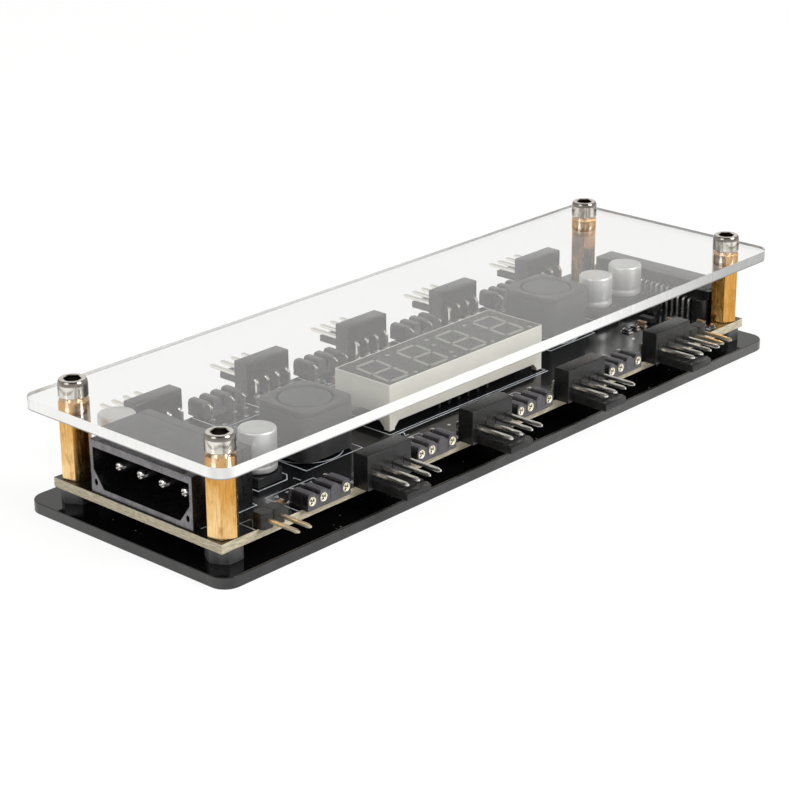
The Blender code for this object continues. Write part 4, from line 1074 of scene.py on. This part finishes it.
class HUB_OT_display(bpy.types.Operator):
    """Make the clock display: cream case, smoky face and unlit segments"""
    bl_idname = "hub.display"
    bl_label = "Clock display"

    def execute(self, context):
        case = cad_copy("display_case", "display_body", ["display case", "dark lead"], 0.10, 2)
        # The leads under the case are its small faces near the board; they take the lead in painted shade.
        leads_top, leads_reach, leads_face = 7.8 * MM, 7.2 * MM, 1.2 * MM ** 2
        middle_x = middle("display_body").x * MM
        for face in case.data.polygons:
            x, _, z = face.center
            if z < leads_top and abs(x - middle_x) < leads_reach and face.area < leads_face:
                face.material_index = 1
        finish_piece(case, ["display_body"])
        low, high = corners("display_face")
        centre, rim = (low + high) / 2, 0.16
        outer = rectangle(low.x, high.x, low.y, high.y)
        inner = rectangle(low.x + rim, high.x - rim, low.y + rim, high.y - rim)
        bm = bmesh.new()
        holed(bm, outer, [inner], low.z - 0.32, high.z)
        finish_piece(solid("display_rim", bm, ["display case"], 0.06))
        bm = bmesh.new()
        prism(bm, inner, low.z - 0.2, high.z - 0.04)
        finish_piece(solid("display_window", bm, ["display face"]), ["display_face"])

        # Four slanted figures, a colon and the points
        sizes = context.scene.hub_sizes
        half_height, half_bar = sizes.figure_height / MM / 2, sizes.segment_width / MM / 2
        half_width, slant, gap, pitch, thickness = 4.9 / 2, 0.13, 0.20, 10.15, 0.05
        top, figure_y = high.z - 0.02, centre.y - 0.6
        middles = [centre.x - 0.5 + x for x in row_offsets(pitch, 4)]
        bm = bmesh.new()
        for middle_x in middles:
            for ends in FIGURE_BARS:
                a, b = (Vector((u * half_width, v * half_height)) for u, v in ends)
                along = (b - a).normalized()
                across = Vector((-along.y, along.x)) * half_bar
                taper = along * half_bar
                a, b = a + along * gap, b - along * gap
                outline = [a, a + taper - across, b - taper - across, b, b - taper + across, a + taper + across]
                prism(bm, [(middle_x + p.x + slant * p.y, figure_y + p.y) for p in outline],
                      top - thickness, top)
        dots = [(centre.x - 0.43, centre.y + 1.23), (centre.x - 1.0, centre.y - 3.35)]
        dots += [(middle_x + 3.3, figure_y - half_height - 0.1) for middle_x in middles]
        dots += [(middle_x + 6.2, figure_y + half_height) for middle_x in middles[:3]]
        for dot in dots:
            lathe(bm, [(0.0, top - thickness), (0.42, top - thickness), (0.42, top), (0.0, top)], 16, dot)
        finish_piece(solid("display_segments", bm, ["segment"]))
        dress("controller_chip", "chip mould")
        return {"FINISHED"}


class HUB_OT_power_parts(bpy.types.Operator):
    """Make the inductors and the capacitors"""
    bl_idname = "hub.power_parts"
    bl_label = "Inductors and capacitors"

    def execute(self, context):
        top = corners(INDUCTORS[0])[1].z - BOARD_TOP
        body, well = rounded(12.0, 12.0, 2.2, 8), top - 0.9
        bm = bmesh.new()
        holed(bm, body, [polygon(40, 4.85)], well, top)
        prism(bm, body, 0.5, well)
        lathe(bm, [(0.0, 0.0), (4.9, 0.0), (4.9, 0.6), (0.0, 0.6)], 40)
        lathe(bm, [(0.0, top - 1.0), (4.45, top - 1.0), (4.45, top - 0.05), (4.3, top), (0.0, top)], 40)
        rows("inductor_bodies", bm, ["ferrite"], spots(INDUCTORS, BOARD_TOP), "ferrite", INDUCTORS,
             bevel=0.22, segments=3, angle=50.0)

        # Cans: rolled foot, crimp and a rim round the marked top
        low, high = (corner.z for corner in corners(CANS[0]))
        low, r = low - 0.25, 3.15
        profile = [(0.0, low), (r - 0.35, low), (r - 0.04, low + 0.25), (r, low + 0.45), (r, low + 0.95),
                   (r - 0.07, low + 1.15), (r - 0.14, low + 1.40), (r - 0.07, low + 1.65), (r, low + 1.85),
                   (r, high - 0.38), (r - 0.05, high - 0.22), (r - 0.18, high - 0.07), (r - 0.38, high),
                   (r - 0.50, high - 0.04), (r - 0.58, high - 0.12), (0.0, high - 0.12)]
        bm = bmesh.new()
        lathe(bm, profile, 48)
        for face in bm.faces:
            face.material_index = int(face.calc_center_median().z > high - 0.13 and abs(face.normal.z) > 0.9)
        rows("capacitor_cans", bm, ["aluminium", "can top"], spots(CANS), "aluminium", CANS, smooth=40.0)

        turns = (0.0, 0.0, math.pi / 2, math.pi / 2)
        places = [(*middle(name).xy, BOARD_TOP, turn) for name, turn in zip(CAN_FEET, turns)]
        outline = cut_square(3.3, 1.3)
        bm = bmesh.new()
        holed(bm, outline, [polygon(32, 3.2)], 0.35, 1.6)
        prism(bm, outline, 0.0, 0.6)
        rows("capacitor_feet", bm, ["capacitor foot"], places, "black_plastic", CAN_FEET,
             bevel=0.10, segments=2)
        bm = bmesh.new()
        block(bm, (-3.7, 3.7), (-0.4, 0.4), (0.02, 0.3))
        rows("capacitor_tabs", bm, ["solder"], places, "tin", bevel=0.06)
        return {"FINISHED"}


class HUB_OT_drive_header(bpy.types.Operator):
    """Make the drive power header at the right end"""
    bl_idname = "hub.drive_header"
    bl_label = "Drive power header"

    def execute(self, context):
        low, high = corners("drive_power_header")
        mouth, back, top = high.x, high.x - 4.9, high.z
        y0, y1 = low.y + 1.1, high.y
        wall, floor = 0.9, BOARD_TOP + 0.3
        outside = rectangle(y0, y1, BOARD_TOP, top)
        bm = bmesh.new()
        holed(bm, outside, [rectangle(y0 + wall, y1 - wall, floor + wall, top - wall)],
              mouth - 3.4, mouth, "X")
        prism(bm, outside, back, mouth - 3.3, "X")
        prism(bm, rectangle(low.y, y0 + 0.5, BOARD_TOP, top), back, mouth - 3.5, "X")
        # Tongue with a hook at its far end
        middle_y, middle_z, half = -2.1, (floor + top) / 2, 9.79
        for edge, z0, z1 in ((middle_y - half, middle_z - 0.55, middle_z + 0.55),
                             (middle_y + half - 1.1, middle_z, middle_z + 1.35)):
            prism(bm, rectangle(edge, middle_y + half, z0, z1), mouth - 3.5, mouth - 0.45, "X")
        # Rounded boss at each end of the back
        boss = 1.7
        for y in (low.y + boss, y1 - boss):
            rim = [(back - 1.6 * math.sin(a), y + boss * math.cos(a))
                   for a in (math.pi * k / 12 for k in range(13))]
            prism(bm, rim + [(back + 0.4, y - boss), (back + 0.4, y + boss)], BOARD_TOP, low.z + 3.7)
        housing = solid("drive_header_body", bm, ["connector plastic"], 0.10, 2)
        finish_piece(housing, ["drive_power_header"])
        level, side = 3.4, 0.4
        bm = bmesh.new()
        sweep(bm, bent((0.0, 0.9, BURIED), (0.0, 0.9, level), (0.0, -0.4, level), side), square_wire(side, 0.06))
        rows("drive_leads", bm, ["lead tin"], [(back, middle_y, BOARD_TOP, math.pi / 2)], "tin",
             count=15, pitch=1.27)
        return {"FINISHED"}


# Places of the small parts, as (x, y) and turn in degrees
RESISTOR_SPOTS = [(-22.4, -13.9, 0), (3.1, -13.9, 0), (28.4, -13.9, 0), (47.8, -7.6, 90), (50.3, -7.6, 90),
                  (59.6, -10.6, 90), (57.6, -15.6, 0), (59.9, -18.2, 0), (-12.6, 14.0, 0), (12.8, 14.0, 0),
                  (38.2, 14.0, 0), (-53.0, 11.8, 90), (47.0, 9.6, 0)]
CAPACITOR_SPOTS = [(-52.4, -15.6, 0), (-9.8, 12.6, 90), (52.6, -7.6, 90), (57.6, -10.6, 90), (60.4, -15.6, 90),
                   (47.0, 12.4, 0)]
REGULATOR_SPOTS = [(55.0, -7.0, 90), (60.6, -4.6, 0)]
HOLE_SPOTS = [(5.4, -12.4, 0), (-9.5, -13.3, 0), (24.8, -12.8, 0), (45.6, -10.8, 0), (-20.8, 8.0, 0),
              (-22.0, 5.6, 0), (24.6, 7.4, 0), (26.4, 9.0, 0), (55.6, -11.0, 0), (62.0, -17.0, 0)]
# Strokes of the figures, one unit wide and two high
DIGITS = {
    1: [(0.5, 0.0), (0.5, 2.0), (0.1, 1.6)],
    2: [(0.0, 1.6), (0.25, 2.0), (0.75, 2.0), (1.0, 1.6), (1.0, 1.3), (0.0, 0.0), (1.0, 0.0)],
    3: [(0.0, 2.0), (1.0, 2.0), (0.45, 1.2), (0.8, 1.1), (1.0, 0.75), (1.0, 0.4), (0.75, 0.0), (0.25, 0.0),
        (0.0, 0.4)],
    4: [(0.75, 0.0), (0.75, 2.0), (0.0, 0.6), (1.0, 0.6)],
    5: [(1.0, 2.0), (0.1, 2.0), (0.0, 1.15), (0.7, 1.25), (1.0, 0.85), (1.0, 0.4), (0.7, 0.0), (0.2, 0.0),
        (0.0, 0.3)],
    6: [(0.9, 1.8), (0.6, 2.0), (0.3, 2.0), (0.0, 1.4), (0.0, 0.4), (0.25, 0.0), (0.75, 0.0), (1.0, 0.4),
        (1.0, 0.8), (0.75, 1.15), (0.25, 1.15), (0.0, 0.8)],
    7: [(0.0, 2.0), (1.0, 2.0), (0.4, 0.0)],
    8: [(0.5, 1.1), (0.1, 1.4), (0.1, 1.75), (0.35, 2.0), (0.65, 2.0), (0.9, 1.75), (0.9, 1.4), (0.5, 1.1),
        (0.0, 0.7), (0.0, 0.3), (0.3, 0.0), (0.7, 0.0), (1.0, 0.3), (1.0, 0.7), (0.52, 1.1)],
    9: [(0.1, 0.2), (0.4, 0.0), (0.7, 0.0), (1.0, 0.6), (1.0, 1.6), (0.75, 2.0), (0.25, 2.0), (0.0, 1.6),
        (0.0, 1.2), (0.25, 0.85), (0.75, 0.85), (1.0, 1.2)],
}


def figure(value, x, y, inward):
    """Strokes of one figure that is centred on (x, y) and reads from its own side of the board."""
    unit = 0.75 * inward
    return [(x + (u - 0.5) * unit, y + (v - 1.0) * unit) for u, v in DIGITS[value]]


def bracket(low, high, margin, edge, inner):
    """Three sides of an outline round a connector, open at the board's edge."""
    x0, x1 = low.x - margin, high.x + margin
    return [(x0, edge), (x0, inner), (x1, inner), (x1, edge)]


def on_board(part_spots):
    return [(x, y, BOARD_TOP, math.radians(turn)) for x, y, turn in part_spots]


class HUB_OT_board_details(bpy.types.Operator):
    """Make the printed outlines, the pads and the small parts of the board"""
    bl_idname = "hub.board_details"
    bl_label = "Board details"

    def execute(self, context):
        sizes = context.scene.hub_sizes
        offsets = row_offsets(sizes.contact_pitch / MM, LOBES)
        print_edge, print_inner, lift = 19.3, 11.95, 0.012
        lines = []
        for x, y, _, _ in spots(INDUCTORS):
            half = 6.6
            lines.append(closed(rectangle(x - half, x + half, y - half, y + half)))
            lines.append(closed(polygon(64, 6.2, 0.0, (x, y))))
        for x, y, _, _ in spots(CANS):
            lines.append(closed(cut_square(3.9, 1.4, (x, y))))
        for count, name in enumerate(LIGHT_SOCKETS):
            (low, high), inward = corners(name), inward_of(name)
            x, inner = (low.x + high.x) / 2, -print_inner * inward
            lines.append(bracket(low, high, 0.35, -print_edge * inward, inner))
            for n in CONTACT_LOBES:
                mark = polygon(3, 0.42, -math.pi / 2 * inward, (x + inward * offsets[n], inner - inward))
                lines.append(closed(mark))
            lines.append(figure(count % 4 + 1, x + 3.4 * inward, inner + 1.6 * inward, inward))
        for count, name in enumerate(FAN_HEADERS):
            (low, high), inward = corners(name), inward_of(name)
            back = high.y if inward > 0 else low.y
            lines.append(figure(count + 1, (low.x + high.x) / 2 - 3.6 * inward, back + 1.9 * inward, inward))
        low, high = corners("display_body")
        margin = 0.5
        x0, x1 = low.x - margin, high.x + margin
        lines.append(closed(rectangle(x0, x1, low.y - margin, high.y + margin)))
        lines.append([(x0, low.y - 1.1), (x1, low.y - 1.1)])
        for name in SMALL_HEADERS:
            lines.append(bracket(*corners(name), 0.4, -print_edge, -16.0))
        lines.append([(-66.5, -12.9), (-54.6, -12.9), (-54.6, 10.9)])
        finish_piece(printed("board_outlines", lines, sizes, BOARD_TOP + lift))

        # Chip resistors and capacitors with tinned ends
        for label, body, height, places in (("chip_resistors", "resistor top", 0.5, RESISTOR_SPOTS),
                                            ("chip_capacitors", "ceramic", 0.85, CAPACITOR_SPOTS)):
            bm = bmesh.new()
            block(bm, (-0.62, 0.62), (-0.40, 0.40), (0.03, height))
            for end in ((-0.85, -0.58), (0.58, 0.85)):
                block(bm, end, (-0.43, 0.43), (0.0, height + 0.02), 1)
            block(bm, (-1.15, 1.15), (-0.48, 0.48), (0.0, 0.05), 1)
            rows(label, bm, [body, "solder"], on_board(places), "tin", bevel=0.04)

        # Three-legged regulators by the drive power header
        bm = bmesh.new()
        block(bm, (-1.45, 1.45), (-0.75, 0.75), (0.1, 1.05))
        for x, leg in ((-0.95, (-1.1, 0.0)), (0.95, (-1.1, 0.0)), (0.0, (0.0, 1.1))):
            block(bm, (x - 0.2, x + 0.2), leg, (0.02, 0.32), 1)
        rows("regulators", bm, ["chip mould", "solder"], on_board(REGULATOR_SPOTS), "black_plastic", bevel=0.05)

        # Plated holes: small solder-filled rings where the layers of the board are joined
        bm = bmesh.new()
        lathe(bm, [(0.0, 0.0), (0.32, 0.0), (0.30, 0.035), (0.16, 0.03), (0.0, 0.02)], 14)
        rows("plated_holes", bm, ["solder"], on_board(HOLE_SPOTS), "tin", smooth=60.0)
        return {"FINISHED"}


# Stage

FRAME_PIXELS = 789         # width of the photograph's frame
FOCAL_PIXELS = 2296.6
CAMERA_PLACE = (-281.505, -250.711, 151.531)
CAMERA_ANGLES = (-47.424, -21.223, -0.401)    # yaw, pitch and roll in degrees


def camera_turn():
    yaw, pitch, roll = (math.radians(angle) for angle in CAMERA_ANGLES)
    forward = Vector((-math.sin(yaw) * math.cos(pitch), math.cos(yaw) * math.cos(pitch), math.sin(pitch)))
    level = forward.cross(Vector((0, 0, 1))).normalized()
    above = level.cross(forward)
    right = level * math.cos(roll) + above * math.sin(roll)
    up = above * math.cos(roll) - level * math.sin(roll)
    return Matrix((right, up, -forward)).transposed().to_4x4()


def lamp(name, place, power):
    """A round soft lamp that points at the hub."""
    data = bpy.data.lights.new(name, "AREA")
    data.shape = "DISK"
    data.size = 0.75
    data.energy = power
    shown = bpy.data.objects.new(name, data)
    shown.location = place
    shown.rotation_euler = (-Vector(place)).to_track_quat("-Z", "Y").to_euler()
    bpy.context.scene.collection.objects.link(shown)


def studio_world():
    """White for the eye and in reflections near the horizon, softer overhead."""
    world = bpy.data.worlds.new("white studio")
    world.use_nodes = True
    tree = world.node_tree
    ways = wired(tree, "ShaderNodeLightPath").outputs
    place = wired(tree, "ShaderNodeTexCoord").outputs["Generated"]
    height = wired(tree, "ShaderNodeSeparateXYZ", {0: place}).outputs["Z"]
    overhead = wired(tree, "ShaderNodeMapRange", {
        "Value": height, "From Min": 0.50, "From Max": 0.78, "To Min": 0.76, "To Max": 0.12}).outputs["Result"]
    level = wired(tree, "ShaderNodeMix", {0: ways["Is Diffuse Ray"], 2: overhead, 3: 0.42}).outputs[0]
    seen = wired(tree, "ShaderNodeMix", {0: ways["Is Camera Ray"], 2: level, 3: 1.0}).outputs[0]
    tint = wired(tree, "ShaderNodeMix", {0: ways["Is Camera Ray"], 6: (1.0, 0.992, 0.965), 7: (1.0, 1.0, 1.0)},
                 data_type="RGBA").outputs[2]
    fill(tree, tree.nodes["Background"], {"Strength": seen, "Color": tint})
    return world


class HUB_OT_stage(bpy.types.Operator):
    """Set up the pale floor, the soft studio light and the camera"""
    bl_idname = "hub.stage"
    bl_label = "Stage"

    def execute(self, context):
        scene = context.scene
        scene.view_settings.view_transform = "Standard"
        scene.world = studio_world()

        # Floor: pale, white where it is seen, and it keeps a soft shadow
        paper = Finish("white paper", Roughness=0.9)
        paper.drive("Base Color", paper.blend(paper.noise(30.0), (0.90, 0.90, 0.895), (0.93, 0.93, 0.925)))
        paper.bump(paper.noise(1.5), 0.01)
        light = paper.add("ShaderNodeLightPath").outputs
        seen = paper.larger(light["Is Camera Ray"], light["Is Glossy Ray"])
        seen = paper.larger(seen, light["Is Transmission Ray"])
        glow = paper.add("ShaderNodeEmission", {"Color": (1.0, 1.0, 1.0), "Strength": 1.04})
        paper.show(paper.times(seen, 0.85), glow)
        bm = bmesh.new()
        bmesh.ops.create_circle(bm, cap_ends=True, segments=64, radius=3.0)
        mesh = bpy.data.meshes.new("floor")
        bm.to_mesh(mesh)
        bm.free()
        floor = piece_of("floor", mesh, ["white paper"])
        floor.location = (0.0, 0.0, -0.00005)

        lamp("key lamp", (0.35, -1.05, 0.85), 15.5)
        lamp("fill lamp", (-1.1, 0.1, 0.75), 4.8)

        data = bpy.data.cameras.new("camera")
        data.sensor_width = 36.0
        data.lens = FOCAL_PIXELS / FRAME_PIXELS * data.sensor_width
        data.clip_start = 0.01
        camera = bpy.data.objects.new("camera", data)
        camera.matrix_world = Matrix.Translation(Vector(CAMERA_PLACE) * MM) @ camera_turn()
        scene.collection.objects.link(camera)
        scene.camera = camera
        return {"FINISHED"}


class HUB_PT_panel(bpy.types.Panel):
    """Lists the pieces of the hub"""
    bl_label = "Fan controller hub"
    bl_idname = "HUB_PT_panel"
    bl_space_type = "VIEW_3D"
    bl_region_type = "UI"
    bl_category = "Hub"

    def draw(self, context):
        for group in (context.scene.hub_sizes, context.scene.hub_colours):
            column = self.layout.column()
            for name in group.bl_rna.properties.keys():
                if name not in ("rna_type", "name"):
                    column.prop(group, name)
        for operator in OPERATORS:
            self.layout.operator(operator.bl_idname)


OPERATORS = (HUB_OT_finishes, HUB_OT_plates, HUB_OT_fasteners, HUB_OT_power_inlet, HUB_OT_fan_headers,
             HUB_OT_light_sockets, HUB_OT_small_headers, HUB_OT_display, HUB_OT_power_parts,
             HUB_OT_drive_header, HUB_OT_board_details, HUB_OT_stage)
CLASSES = (HubSizes, HubColours, *OPERATORS, HUB_PT_panel)


def register():
    for each in CLASSES:
        bpy.utils.register_class(each)
    bpy.types.Scene.hub_sizes = bpy.props.PointerProperty(type=HubSizes)
    bpy.types.Scene.hub_colours = bpy.props.PointerProperty(type=HubColours)


def unregister():
    del bpy.types.Scene.hub_sizes
    del bpy.types.Scene.hub_colours
    for each in reversed(CLASSES):
        bpy.utils.unregister_class(each)


def main():
    register()
    for operator in OPERATORS:
        group, name = operator.bl_idname.split(".")
        getattr(getattr(bpy.ops, group), name)()


if __name__ == "__main__":
    main()
